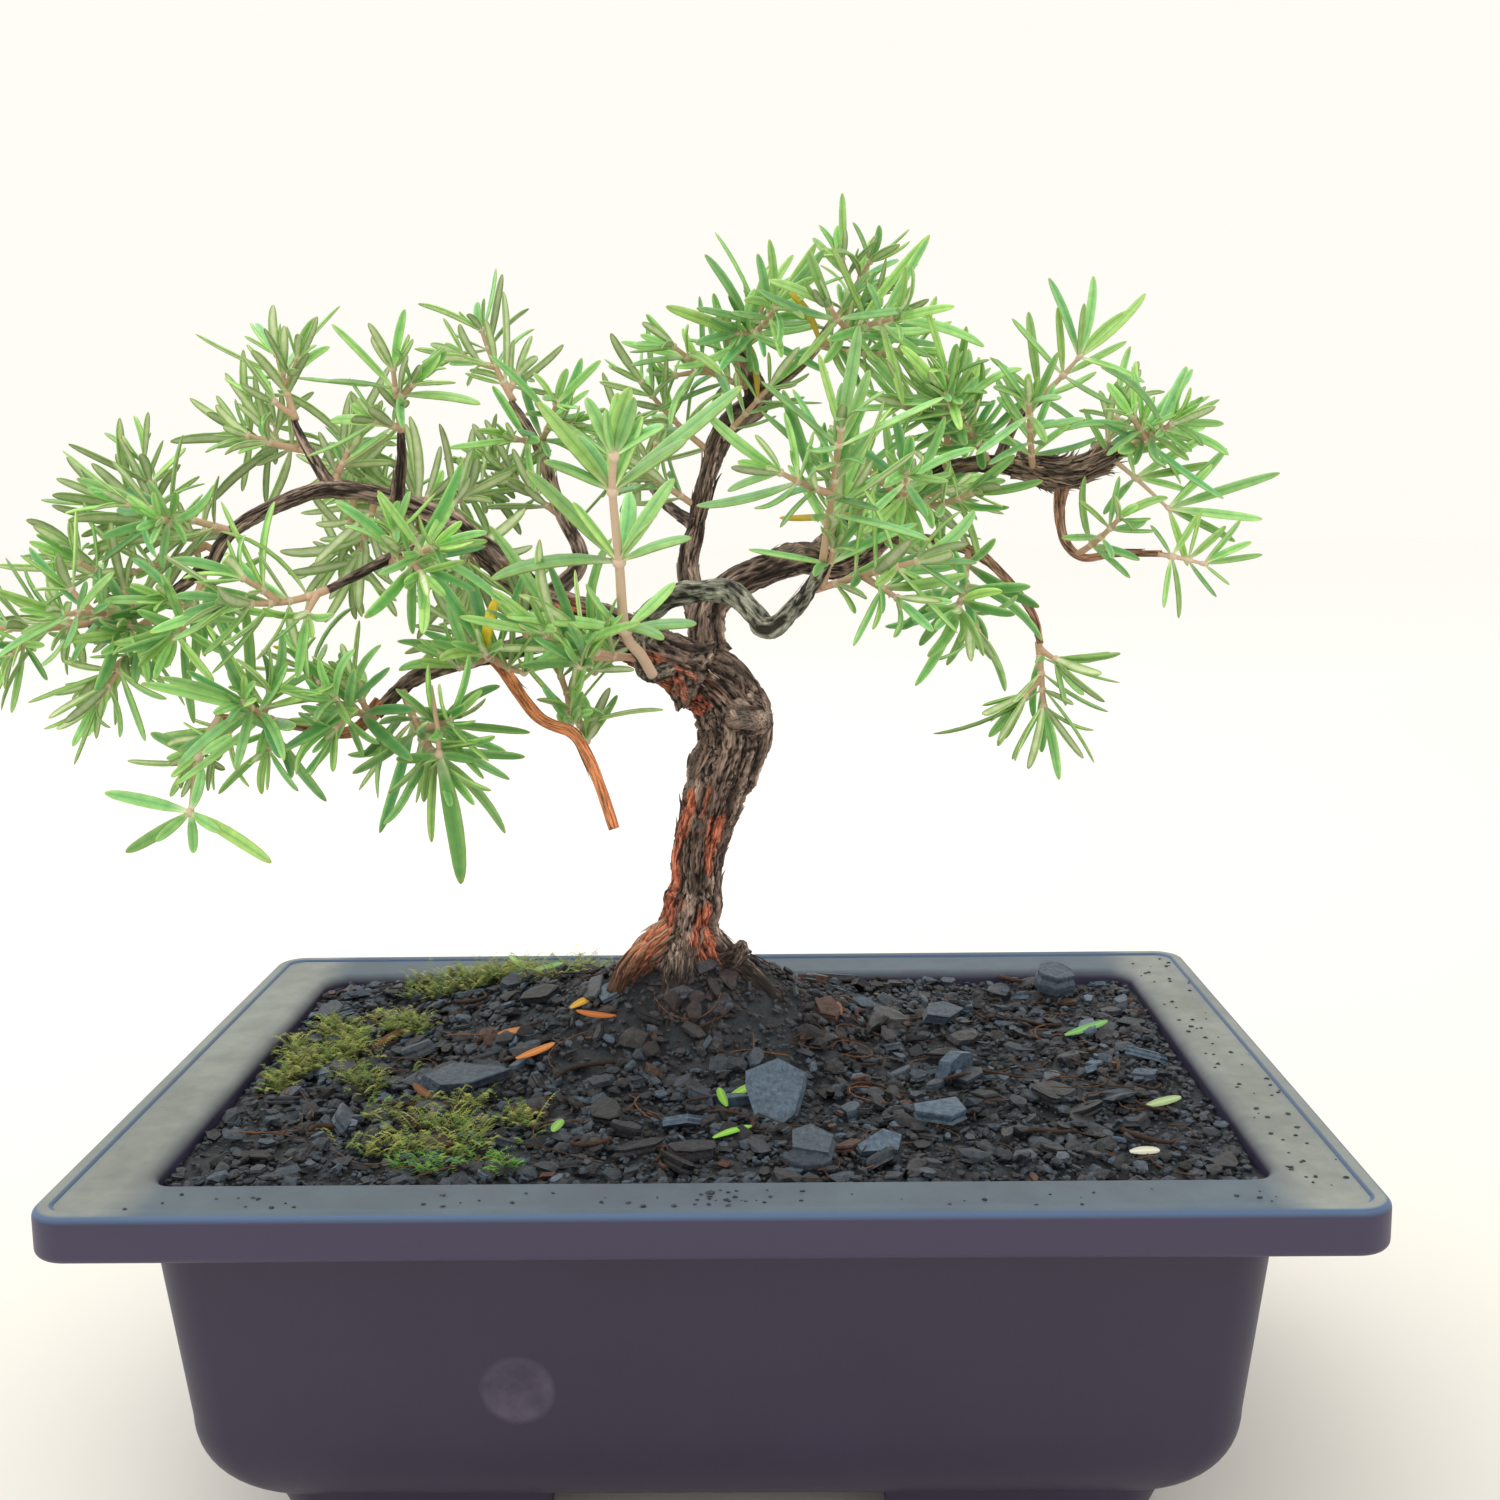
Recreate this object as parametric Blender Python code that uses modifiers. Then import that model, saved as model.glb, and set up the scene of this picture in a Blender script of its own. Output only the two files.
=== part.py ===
"""A rosemary bonsai in a rectangular plastic training pot, as solids.

Metres, +Z up, +X along the pot's length, +Y to its back. The pot is modelled round its own middle
with its feet on z = 0. An empty, bonsai, carries every piece and puts the middle of the whole
object's foot at the world's origin.
"""

import math
import random

import bmesh
import bpy
import numpy as np
from mathutils import Matrix, Vector, noise

MM = 0.001
SEED = 11

# Pot, outside.
POT_LENGTH = 0.270
POT_WIDTH = 0.189
POT_HEIGHT = 0.092
RIM_CORNER = 0.008
RIM_OVERHANG = 0.0162  # from the rim's outer edge in to the body's wall
RIM_PLATE = 0.0030
LIP_HEIGHT = 0.0100
LIP_WALL = 0.0030
LIP_ROUND = 0.0018
BEAD_WIDTH = 0.0030
BEAD_HEIGHT = 0.0007
# Pot, body.
WALL = 0.0028
FLOOR = 0.0030
BODY_DRAFT = 0.0052  # how far the wall leans in on its way down
BODY_CORNER = 0.0100
BOTTOM_ROUND = 0.0270
OPENING_FILLET = 0.0026
# Pot, feet and drainage.
FOOT_HEIGHT = 0.0080
FOOT_INSET = 0.0345  # from the rim's outer edge in to the feet
FOOT_TAPER = 0.0040
FOOT_WIDTH = 0.0110
FOOT_MERGE = 0.0045  # how far the feet reach up into the rounded wall
FRONT_ARCH = 0.0740
SIDE_ARCH = 0.0400
ARCH_SPREAD = 0.0070  # how much wider each side of an arch is at the ground
HOLE_RADIUS = 0.0080
HOLE_SPACING = 0.1100
# Drainage mesh.
MESH_SIDE = 0.0260
MESH_CELLS = 3
MESH_BAR = 0.0012
MESH_THICKNESS = 0.0010
# Soil.
CLEARANCE = 0.0003  # between any two pieces that touch
SOIL_DROP = 0.0040  # from the rim's top down to the soil beside it
SOIL_CELL = 0.0090
SOIL_LUMP = 0.0011
MOUND_RISE = 0.0190
MOUND_LENGTH = 0.0400
MOUND_WIDTH = 0.0300
BANK_RISE = 0.0050  # the low bank at the back left
BANK_PLACE = (-0.060, 0.062)
BANK_SPREAD = 0.030
# Tree.
TREE_PLACE = (-0.008, 0.032)  # the trunk's foot, from the pot's middle
BARK_STEP = 0.0080
# Shoots.
STEM_RADIUS = 0.0008
LEAF_WIDTH = 0.0030
LEAF_THICKNESS = 0.0011
LEAF_LENGTH = 0.0200
LEAF_NECK = 0.22  # the share of a leaf beside its stem that may touch its neighbours
LEAF_RISE = (42, 72)  # degrees between a leaf and its stem
NODE_SPACING = 0.0048
NODE_LENGTH = 0.00144
SAMPLE_STEP = 0.0015
LEAF_CLEARANCE = 0.0006
# What a leaf tries in turn until it's clear: degrees added to its rise, degrees round the stem, and
# the share of its length.
LEAF_TRIES = (
    (0, 0, 1),
    (12, 0, 1),
    (-14, 0, 1),
    (0, 25, 1),
    (0, -25, 1),
    (14, 30, 0.85),
    (-12, -30, 0.85),
    (20, 0, 0.7),
    (-18, 20, 0.7),
    (0, 0, 0.55),
)

# Each limb: radii in mm from its foot to its end, then its route in mm from the trunk's foot.
LIMBS = {
    "trunk": ((9, 10, 7.6, 6.3, 6.8, 7.6, 8.3, 8.9, 9.6, 9.6, 8.6, 7),
              ((0, 0, -14), (-1, 0, 1), (-1, 0, 10), (1, 0, 20), (2, 0, 30), (5, 0, 41), (8, 0, 50),
               (11, 0, 57), (12, 0, 64), (9, 0, 71), (4, -1, 76), (-2, -2, 79))),
    "left_limb": ((6, 5.4, 4.8, 4, 3.6, 2.9, 2.4, 2.0, 1.8, 1.6, 1.4),
                  ((2, -1, 77), (-9, -4, 83), (-22, -7, 91), (-35, -10, 96), (-43, -12, 103),
                   (-56, -14, 115), (-70, -17, 122), (-85, -20, 125), (-96, -24, 122),
                   (-108, -27, 115), (-114, -27, 106))),
    "far_left": ((1.5, 1.1), ((-113, -27, 108), (-127, -30, 98), (-142, -32, 93))),
    "right_limb": ((5, 4.4, 4, 4.2, 4, 3.6, 2.8, 2.3, 2.1, 2.3, 2.6, 1.9, 1.5),
                   ((6, 0, 74), (5, 2, 91), (10, 4, 98), (20, 6, 103), (30, 8, 106), (40, 10, 104),
                    (52, 10, 112), (61, 8, 124), (70, 6, 129), (83, 4, 129), (95, 2, 125),
                    (105, 0, 130), (115, -2, 136))),
    "upright": ((3.6, 2.8, 2.3, 2.3, 3.2, 3.4, 2.6, 2.0),
                ((6, 1, 82), (0, 12, 102), (2, 18, 114), (5, 22, 127), (10, 24, 140),
                 (18, 26, 147), (15, 28, 157), (11, 28, 165))),
    "twisted": ((2.2, 2.0, 1.8, 1.6, 1.2),
                ((-10, -4, 84), (-11, -14, 91), (-3, -24, 98), (5, -30, 100), (12, -36, 100),
                 (17, -40, 96), (21, -44, 92), (26, -48, 96), (30, -52, 101), (34, -58, 108))),
    "front": ((2.2, 1.5), ((-4, -3, 79), (-8, -24, 79), (-9, -40, 84), (-9, -54, 91))),
    "lower_left": ((2.7, 1.6), ((-8, -3, 83), (-31, -16, 87), (-50, -26, 84), (-64, -32, 80),
                                (-73, -36, 72))),
    "low_end": ((1.6, 0.9), ((-72, -35, 74), (-79, -40, 68), (-93, -44, 71), (-108, -47, 73))),
    "bare_stem": ((1.5, 1.3), ((-46, -24, 84), (-35, -34, 71), (-26, -38, 67), (-22, -40, 61),
                               (-19, -42, 54), (-16, -44, 45))),
    "up_left": ((2.3, 1.1), ((-36, -10, 96), (-27, -2, 106), (-32, 4, 118), (-39, 12, 136),
                             (-46, 16, 147))),
    "right_down": ((1.6, 0.9), ((96, 2, 125), (96, -2, 113), (97, -6, 104), (106, -10, 105),
                                (118, -15, 107))),
    "droop": ((1.7, 0.8), ((51, 10, 111), (64, -2, 110), (75, -12, 106), (85, -20, 94),
                           (87, -24, 86))),
    "right_top": ((1.5, 1.0), ((80, 5, 129), (84, 4, 140), (92, 1, 147))),
    "top": ((1.8, 1.0), ((17, 26, 146), (31, 20, 157), (38, 15, 166))),
    "left_top": ((1.5, 0.9), ((-85, -20, 125), (-92, -15, 135), (-96, -11, 142))),
    "mid_top": ((1.6, 0.9), ((-70, -17, 122), (-67, -24, 131), (-66, -28, 138))),
    "back_left": ((2.0, 1.0), ((-44, -12, 104), (-54, 6, 110), (-68, 24, 117), (-80, 36, 120))),
    "back_right": ((2.2, 1.0), ((31, 8, 106), (40, 26, 113), (52, 42, 119), (60, 50, 121))),
    "front_left": ((1.8, 0.9), ((-57, -14, 116), (-62, -34, 112), (-70, -50, 107), (-77, -59, 103))),
    "back_mid": ((1.8, 1.0), ((2, 18, 114), (-8, 34, 121), (-14, 46, 129))),
}
# Each root: radii and route as above. They run on down through the soil.
ROOTS = {
    "root_left": ((5.4, 4.6, 3.0, 1.6), ((-2, 0, 9), (-11, -4, 3), (-21, -8, -7), (-36, -14, -24))),
    "root_front": ((5.0, 3.6, 1.6), ((-1, -1, 9), (-3, -10, 0), (-6, -24, -14), (-8, -40, -34))),
    "root_right": ((5.0, 3.4, 1.5), ((1, 0, 8), (10, -4, 1), (22, -10, -9), (38, -18, -28))),
    "root_back": ((5.0, 3.6, 1.6), ((1, 1, 8), (6, 9, 0), (13, 20, -12), (22, 30, -30))),
    "root_back_left": ((4.6, 3.2, 1.6), ((-1, 1, 8), (-9, 8, 0), (-20, 17, -12), (-34, 24, -30))),
}
# Each shoot: its limb, its place along that limb as a share, where its last leaves stand in mm from
# the trunk's foot, its pairs of leaves and its leaves' size against the usual one.
SHOOTS = (
    ("far_left", 1.00, (-160, -37, 94), 4, 1.0),
    ("far_left", 0.70, (-140, -48, 97), 4, 0.9),
    ("far_left", 0.55, (-146, -20, 108), 4, 0.9),
    ("left_limb", 0.97, (-140, -12, 120), 4, 0.9),
    ("left_limb", 0.93, (-126, -36, 121), 4, 0.9),
    ("left_limb", 1.00, (-116, -46, 94), 4, 1.0),
    ("far_left", 0.40, (-136, -42, 79), 4, 1.0),
    ("left_top", 1.00, (-99, -8, 154), 4, 0.9),
    ("left_top", 0.55, (-114, 2, 140), 3, 0.9),
    ("mid_top", 1.00, (-66, -33, 150), 4, 0.9),
    ("left_limb", 0.72, (-86, 8, 138), 4, 0.9),
    ("front_left", 1.00, (-92, -68, 102), 4, 1.0),
    ("front_left", 0.60, (-54, -58, 112), 4, 1.0),
    ("lower_left", 1.00, (-78, -58, 78), 4, 1.0),
    ("lower_left", 0.50, (-44, -52, 88), 4, 1.0),
    ("low_end", 1.00, (-116, -52, 54), 4, 1.1),
    ("low_end", 0.60, (-96, -64, 78), 4, 1.0),
    ("lower_left", 0.85, (-57, -50, 64), 4, 1.3),
    ("lower_left", 0.35, (-26, -18, 66), 4, 0.9),
    ("left_limb", 0.58, (-68, 4, 122), 4, 0.9),
    ("up_left", 1.00, (-52, 20, 162), 4, 0.9),
    ("up_left", 0.75, (-32, -4, 146), 4, 0.9),
    ("upright", 0.85, (-2, 10, 160), 4, 0.9),
    ("upright", 0.95, (22, 6, 168), 4, 1.0),
    ("top", 1.00, (46, 10, 178), 5, 0.8),
    ("top", 0.55, (52, -12, 164), 4, 1.0),
    ("twisted", 1.00, (36, -76, 134), 5, 1.0),
    ("twisted", 0.88, (52, -62, 108), 4, 1.0),
    ("front", 1.00, (-9, -96, 122), 5, 1.25),
    ("front", 0.75, (-26, -62, 92), 3, 1.2),
    ("right_limb", 0.62, (66, -12, 150), 4, 0.9),
    ("right_limb", 0.52, (54, -28, 126), 4, 1.0),
    ("right_top", 1.00, (103, -2, 162), 5, 0.9),
    ("right_limb", 0.96, (118, -20, 138), 4, 0.9),
    ("right_down", 1.00, (134, -22, 112), 4, 0.8),
    ("droop", 0.45, (66, -34, 96), 4, 1.0),
    ("droop", 1.00, (88, -27, 70), 4, 1.0),
    ("back_left", 1.00, (-94, 46, 122), 4, 0.9),
    ("back_right", 1.00, (74, 60, 124), 4, 0.9),
    ("back_mid", 1.00, (-18, 60, 138), 4, 0.9),
)
# Moss: middle and half sizes on the soil, height.
MOSS = (
    ((-0.094, 0.010), (0.016, 0.030), 0.0050),
    ((-0.058, 0.062), (0.034, 0.013), 0.0055),
    ((-0.064, -0.040), (0.024, 0.014), 0.0050),
    ((-0.058, -0.0625), (0.012, 0.007), 0.0035),
)
MOSS_EDGE = 0.2  # a cushion's thickness at its edge, as a share of its height
# Bark chips: middle, length, width, thickness, sides, turn in degrees.
CHIPS = (
    ((0.015, -0.028), 0.0180, 0.0140, 0.0060, 6, 70),
    ((-0.063, -0.014), 0.0200, 0.0110, 0.0040, 7, 5),
    ((0.052, -0.038), 0.0120, 0.0080, 0.0040, 5, 20),
    ((0.092, 0.058), 0.0120, 0.0100, 0.0080, 6, 40),
    ((0.022, -0.058), 0.0140, 0.0100, 0.0040, 5, 110),
    ((0.058, 0.030), 0.0130, 0.0070, 0.0040, 5, 150),
)
# Fallen leaves: middle, length, turn in degrees.
FALLEN_LEAVES = (
    ((0.095, 0.024), 0.0130, 25),
    ((-0.036, 0.020), 0.0120, 65),
    ((-0.046, 0.000), 0.0100, 35),
    ((0.103, -0.030), 0.0090, 15),
    ((0.004, -0.045), 0.0100, 40),
)

CHIP_UNEVEN = 0.14
FLAKE_TOP = 0.76  # a flake's upper side against its lower one

COLOURS = {
    "pot": ((0.070, 0.058, 0.078), 0.55),
    "mesh": ((0.020, 0.020, 0.020), 0.60),
    "soil": ((0.013, 0.012, 0.012), 0.95),
    "wood": ((0.120, 0.062, 0.040), 0.85),
    "leaf": ((0.120, 0.330, 0.085), 0.50),
    "moss": ((0.180, 0.240, 0.040), 0.95),
    "chip": ((0.028, 0.033, 0.040), 0.80),
    "dry_leaf": ((0.480, 0.210, 0.040), 0.70),
}

soil_level = POT_HEIGHT - SOIL_DROP
body_inset = RIM_OVERHANG + BODY_DRAFT
floor_top = FOOT_HEIGHT + FLOOR


def clear_scene():
    for obj in list(bpy.data.objects):
        bpy.data.objects.remove(obj)


def collection(name):
    made = bpy.data.collections.new(name)
    bpy.context.scene.collection.children.link(made)
    return made


def material(name):
    colour, roughness = COLOURS[name]
    made = bpy.data.materials.new(name)
    made.use_nodes = True
    shader = made.node_tree.nodes["Principled BSDF"]
    shader.inputs["Base Color"].default_value = (*colour, 1)
    shader.inputs["Roughness"].default_value = roughness
    shader.inputs["Metallic"].default_value = 0
    made.diffuse_color = (*colour, 1)
    return made


def add_object(name, data, where, finish=None):
    obj = bpy.data.objects.new(name, data)
    where.objects.link(obj)
    obj.parent = root
    if finish:
        data.materials.append(finish)
    else:
        obj.hide_render = True
        obj.display_type = "WIRE"
    return obj


def mesh_from(bm, name, smooth=False):
    """The finished mesh, with its faces pointing out."""
    bmesh.ops.recalc_face_normals(bm, faces=bm.faces)
    data = bpy.data.meshes.new(name)
    bm.to_mesh(data)
    bm.free()
    if smooth:
        data.shade_smooth()
        data.set_sharp_from_angle(angle=math.radians(40))
    return data


def boolean(target, cutter, operation="DIFFERENCE"):
    modifier = target.modifiers.new(cutter.name, "BOOLEAN")
    modifier.operation = operation
    modifier.solver = "EXACT"
    modifier.object = cutter


# Rounded rectangles lofted into pots, soil and feet.


def ring(half_length, half_width, corner, z, steps=4):
    """The points of one rounded rectangle."""
    points = []
    for turn in range(4):
        across = half_length - corner if turn in (0, 3) else corner - half_length
        along = half_width - corner if turn in (0, 1) else corner - half_width
        for step in range(steps + 1):
            angle = math.pi / 2 * (turn + step / steps)
            points.append((across + corner * math.cos(angle), along + corner * math.sin(angle), z))
    return points


def pot_ring(inset, z, corner):
    return ring(POT_LENGTH / 2 - inset, POT_WIDTH / 2 - inset, corner, z)


def loft(name, rings, smooth=False):
    """One closed body through the rings, capped at the first and the last."""
    bm = bmesh.new()
    loops = [[bm.verts.new(point) for point in points] for points in rings]
    for low, high in zip(loops, loops[1:]):
        for i in range(len(low)):
            bm.faces.new((low[i - 1], low[i], high[i], high[i - 1]))
    bm.faces.new(loops[0])
    bm.faces.new(loops[-1])
    return mesh_from(bm, name, smooth)


def arc(inset, z, radius, start, end, steps):
    """(inset, z) along an arc, angles in degrees, where 180 points out from the pot."""
    points = []
    for step in range(steps + 1):
        angle = math.radians(start + (end - start) * step / steps)
        points.append((inset + radius * math.cos(angle), z + radius * math.sin(angle)))
    return points


def inner_wall(gap=0.0, steps=4):
    """(inset, z, corner) up the pot's inside from its floor, moved in by the gap."""
    radius = BOTTOM_ROUND - WALL
    middle = body_inset + BOTTOM_ROUND, floor_top + radius
    corner = BODY_CORNER - WALL - gap
    curve = arc(*middle, radius - gap, 270, 180, steps)
    top = RIM_OVERHANG + WALL + gap, POT_HEIGHT - BEAD_HEIGHT - OPENING_FILLET
    return [(inset, z, corner) for inset, z in curve + [top]]


def pot_mesh():
    """The moulded wall: out along the bottom, up, round the rim and its lip, and down inside."""
    bottom = arc(body_inset + BOTTOM_ROUND, FOOT_HEIGHT + BOTTOM_ROUND, BOTTOM_ROUND, 270, 180, 5)
    profile = [(inset, z, BODY_CORNER) for inset, z in bottom]
    under_plate = POT_HEIGHT - BEAD_HEIGHT - RIM_PLATE
    lip_foot = POT_HEIGHT - LIP_HEIGHT
    inner_corner = RIM_CORNER - LIP_WALL
    profile.append((RIM_OVERHANG, under_plate, BODY_CORNER))
    profile.append((LIP_WALL, under_plate, inner_corner))
    profile.append((LIP_WALL, lip_foot, inner_corner))
    edges = arc(LIP_ROUND, lip_foot + LIP_ROUND, LIP_ROUND, 270, 180, 2)
    edges += arc(LIP_ROUND, POT_HEIGHT - LIP_ROUND, LIP_ROUND, 180, 90, 2)
    profile += [(inset, z, RIM_CORNER - inset) for inset, z in edges]
    profile.append((BEAD_WIDTH, POT_HEIGHT, RIM_CORNER - BEAD_WIDTH))
    plateau = POT_HEIGHT - BEAD_HEIGHT
    profile.append((BEAD_WIDTH + BEAD_HEIGHT, plateau, RIM_CORNER - BEAD_WIDTH))
    opening = RIM_OVERHANG + WALL
    fillet = arc(opening - OPENING_FILLET, plateau - OPENING_FILLET, OPENING_FILLET, 90, 0, 3)
    profile += [(inset, z, BODY_CORNER - WALL) for inset, z in fillet[:-1]]
    profile += reversed(inner_wall())
    return loft("pot", [pot_ring(*point) for point in profile], smooth=True)


def foot_ring(inset, z):
    return pot_ring(FOOT_INSET + inset, z, BODY_CORNER)


def arch(name, half_length, half_width, spread_x, spread_y):
    """A gap right through under the pot, wider at the ground."""
    rings = []
    for z, share in ((-FOOT_HEIGHT, 2), (FOOT_HEIGHT, 0), (2 * FOOT_HEIGHT, 0)):
        size = half_length + spread_x * share, half_width + spread_y * share
        rings.append(ring(*size, MM, z, steps=1))
    return add_object(name, loft(name, rings), cutters)


def feet():
    """A tapered plinth, hollow inside and opened by the arches into four corner feet."""
    top = FOOT_HEIGHT + FOOT_MERGE
    plinth = add_object("feet", loft("feet", [foot_ring(FOOT_TAPER, 0), foot_ring(0, top)]), cutters)
    hollow_rings = [foot_ring(FOOT_TAPER + FOOT_WIDTH, z) for z in (-FOOT_HEIGHT, 2 * top)]
    boolean(plinth, add_object("foot_hollow", loft("foot_hollow", hollow_rings), cutters))
    inside_rings = [pot_ring(*point) for point in inner_wall(-WALL / 2)]
    boolean(plinth, add_object("inside", loft("inside", inside_rings), cutters))
    boolean(plinth, arch("front_arch", FRONT_ARCH / 2, POT_WIDTH, ARCH_SPREAD, 0))
    boolean(plinth, arch("side_arch", POT_LENGTH, SIDE_ARCH / 2, 0, ARCH_SPREAD))
    return plinth


def drain_hole(name, x):
    bm = bmesh.new()
    bmesh.ops.create_cone(bm, cap_ends=True, segments=16, radius1=HOLE_RADIUS, radius2=HOLE_RADIUS,
                          depth=4 * FLOOR)
    hole = add_object(name, mesh_from(bm, name), cutters)
    hole.location = (x, 0, FOOT_HEIGHT + FLOOR / 2)
    return hole


def make_pot():
    pot = add_object("pot", pot_mesh(), parts, material("pot"))
    boolean(pot, feet(), "UNION")
    for side, x in (("left", -HOLE_SPACING / 2), ("right", HOLE_SPACING / 2)):
        boolean(pot, drain_hole(f"drain_hole_{side}", x))


def make_drain_mesh(side, x, finish):
    """A square of plastic mesh lying over one drainage hole."""
    bm = bmesh.new()
    bmesh.ops.create_grid(bm, x_segments=MESH_CELLS, y_segments=MESH_CELLS, size=MESH_SIDE / 2)
    inset = bmesh.ops.inset_individual(bm, faces=bm.faces[:], thickness=MESH_BAR)
    bars = set(inset["faces"])
    bmesh.ops.delete(bm, geom=[face for face in bm.faces if face not in bars], context="FACES")
    data = bpy.data.meshes.new(f"drain_mesh_{side}")
    bm.to_mesh(data)
    bm.free()
    mesh = add_object(f"drain_mesh_{side}", data, parts, finish)
    mesh.location = (x, 0, floor_top + CLEARANCE)
    solidify = mesh.modifiers.new("thickness", "SOLIDIFY")
    solidify.thickness = MESH_THICKNESS
    solidify.offset = 1
    return mesh


# Soil and what lies on it.


def bump(x, y, middle, length, width):
    return math.exp(-(((x - middle[0]) / length) ** 2) - ((y - middle[1]) / width) ** 2)


def soil_height(x, y):
    """The soil's surface: level at the walls, a mound at the trunk, a low bank, soft lumps."""
    height = soil_level
    height += MOUND_RISE * bump(x, y, TREE_PLACE, MOUND_LENGTH, MOUND_WIDTH)
    height += BANK_RISE * bump(x, y, BANK_PLACE, BANK_SPREAD, BANK_SPREAD)
    return height + SOIL_LUMP * noise.noise(Vector((x, y, 0)) / (3 * SOIL_CELL))


tree_foot = Vector((*TREE_PLACE, soil_level + MOUND_RISE))


def soil_lattice():
    """A triangulated sheet of cells over the pot's opening, lifted to the soil's surface."""
    bm = bmesh.new()
    columns = math.ceil(POT_LENGTH / SOIL_CELL)
    rows = math.ceil(POT_WIDTH / SOIL_CELL)
    bmesh.ops.create_grid(bm, x_segments=columns, y_segments=rows, size=0.5)
    for vert in bm.verts:
        vert.co.x *= columns * SOIL_CELL
        vert.co.y *= rows * SOIL_CELL
        vert.co.z = soil_height(vert.co.x, vert.co.y)
    bmesh.ops.triangulate(bm, faces=bm.faces, quad_method="FIXED")
    return bm


def extrude_sheet(bm, place):
    """Closes a sheet into a solid: its copy goes where place() says."""
    made = bmesh.ops.extrude_face_region(bm, geom=bm.faces[:], use_keep_orig=True)
    for vert in made["geom"]:
        if isinstance(vert, bmesh.types.BMVert):
            vert.co = place(vert.co)


def box_round(name, obj, gap):
    """A cutter that leaves a recess for an object that stands square."""
    bm = bmesh.new()
    side, depth = MESH_SIDE + 2 * gap, MESH_THICKNESS + 2 * FLOOR
    bmesh.ops.create_cube(bm, size=1, matrix=Matrix.Diagonal((side, side, depth, 1)))
    cutter = add_object(name, mesh_from(bm, name), cutters)
    top = obj.location.z + MESH_THICKNESS + gap
    cutter.location = (obj.location.x, obj.location.y, top - depth / 2)
    return cutter


def make_soil(meshes):
    rings = [pot_ring(*point) for point in inner_wall(CLEARANCE)]
    inset, _, corner = inner_wall(CLEARANCE)[-1]
    rings.append(pot_ring(inset, POT_HEIGHT + MOUND_RISE + BANK_RISE, corner))
    soil = add_object("soil", loft("soil", rings), parts, material("soil"))
    sheet = soil_lattice()
    extrude_sheet(sheet, lambda point: Vector((point.x, point.y, 0)))
    surface = add_object("soil_surface", mesh_from(sheet, "soil_surface"), cutters)
    boolean(soil, surface, "INTERSECT")
    for mesh in meshes:
        boolean(soil, box_round(f"recess_{mesh.name}", mesh, CLEARANCE))
    return soil


def make_moss(finish):
    """Cushions that share the soil's cells, so their undersides follow it exactly."""
    for index, (middle, half, rise) in enumerate(MOSS, 1):
        bm = soil_lattice()

        def reach(point):
            return math.hypot((point.x - middle[0]) / half[0], (point.y - middle[1]) / half[1])

        outside = [face for face in bm.faces if reach(face.calc_center_median()) > 1]
        bmesh.ops.delete(bm, geom=outside, context="FACES")
        for vert in bm.verts:
            vert.co.z += CLEARANCE

        def top(point):
            crown = max(0, 1 - reach(point) ** 2)
            return point + Vector((0, 0, rise * (MOSS_EDGE + crown)))

        extrude_sheet(bm, top)
        add_object(f"moss_{index}", mesh_from(bm, "moss"), parts, finish)


def lie_on_soil(bm, x, y, turn):
    """Turns a flat shape to the slope of the soil and sets it down just clear of it."""
    span = SOIL_CELL
    slope_x = (soil_height(x + span, y) - soil_height(x - span, y)) / (2 * span)
    slope_y = (soil_height(x, y + span) - soil_height(x, y - span)) / (2 * span)
    tilt = Vector((0, 0, 1)).rotation_difference(Vector((-slope_x, -slope_y, 1))).to_matrix()
    turned = (tilt @ Matrix.Rotation(turn, 3, "Z")).to_4x4()
    bmesh.ops.transform(bm, verts=bm.verts, matrix=turned)
    bmesh.ops.translate(bm, verts=bm.verts, vec=(x, y, 0))
    samples = [vert.co for vert in bm.verts]
    samples += [(edge.verts[0].co + edge.verts[1].co) / 2 for edge in bm.edges]
    samples += [face.calc_center_median() for face in bm.faces]
    lift = max(soil_height(point.x, point.y) - point.z for point in samples)
    bmesh.ops.translate(bm, verts=bm.verts, vec=(0, 0, lift + 2 * CLEARANCE))


def flake(name, length, width, thickness, sides, jitter, place, turn, finish):
    """A flat piece with uneven sides: a bark chip or a fallen leaf."""
    rng = random.Random(name)
    bm = bmesh.new()
    bmesh.ops.create_cone(bm, cap_ends=True, segments=sides, radius1=0.5,
                          radius2=0.5 * FLAKE_TOP, depth=1)
    for vert in bm.verts:
        share = 1 + rng.uniform(-jitter, jitter)
        vert.co = (vert.co.x * length * share, vert.co.y * width * share, vert.co.z * thickness)
    lie_on_soil(bm, *place, math.radians(turn))
    add_object(name, mesh_from(bm, name), parts, finish)


def make_litter():
    chip, leaf = material("chip"), material("dry_leaf")
    for index, (place, *size, sides, turn) in enumerate(CHIPS, 1):
        flake(f"bark_chip_{index}", *size, sides, CHIP_UNEVEN, place, turn, chip)
    for index, (place, length, turn) in enumerate(FALLEN_LEAVES, 1):
        size = length, LEAF_WIDTH, LEAF_THICKNESS
        flake(f"fallen_leaf_{index}", *size, 6, 0, place, turn, leaf)


# The woody tree.


def at_share(values, share):
    """A value read off an even list, at a share of its length."""
    place = min(max(share, 0), 1) * (len(values) - 1)
    low = min(int(place), len(values) - 2)
    return values[low] + (values[low + 1] - values[low]) * (place - low)


def smooth_route(points, step):
    """Points along a smooth curve through the given ones, and the share of the way at each."""
    points = [Vector(point) * MM + tree_foot for point in points]
    ends = [2 * points[0] - points[1], *points, 2 * points[-1] - points[-2]]
    spots, shares = [], []
    for i in range(len(points) - 1):
        before, start, end, after = ends[i : i + 4]
        count = max(1, round((end - start).length / step))
        for k in range(count):
            t = k / count
            spots.append(0.5 * (2 * start + (end - before) * t
                                + (2 * before - 5 * start + 4 * end - after) * t * t
                                + (3 * start - before - 3 * end + after) * t ** 3))
            shares.append((i + t) / (len(points) - 1))
    return spots + [points[-1]], shares + [1.0]


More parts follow.
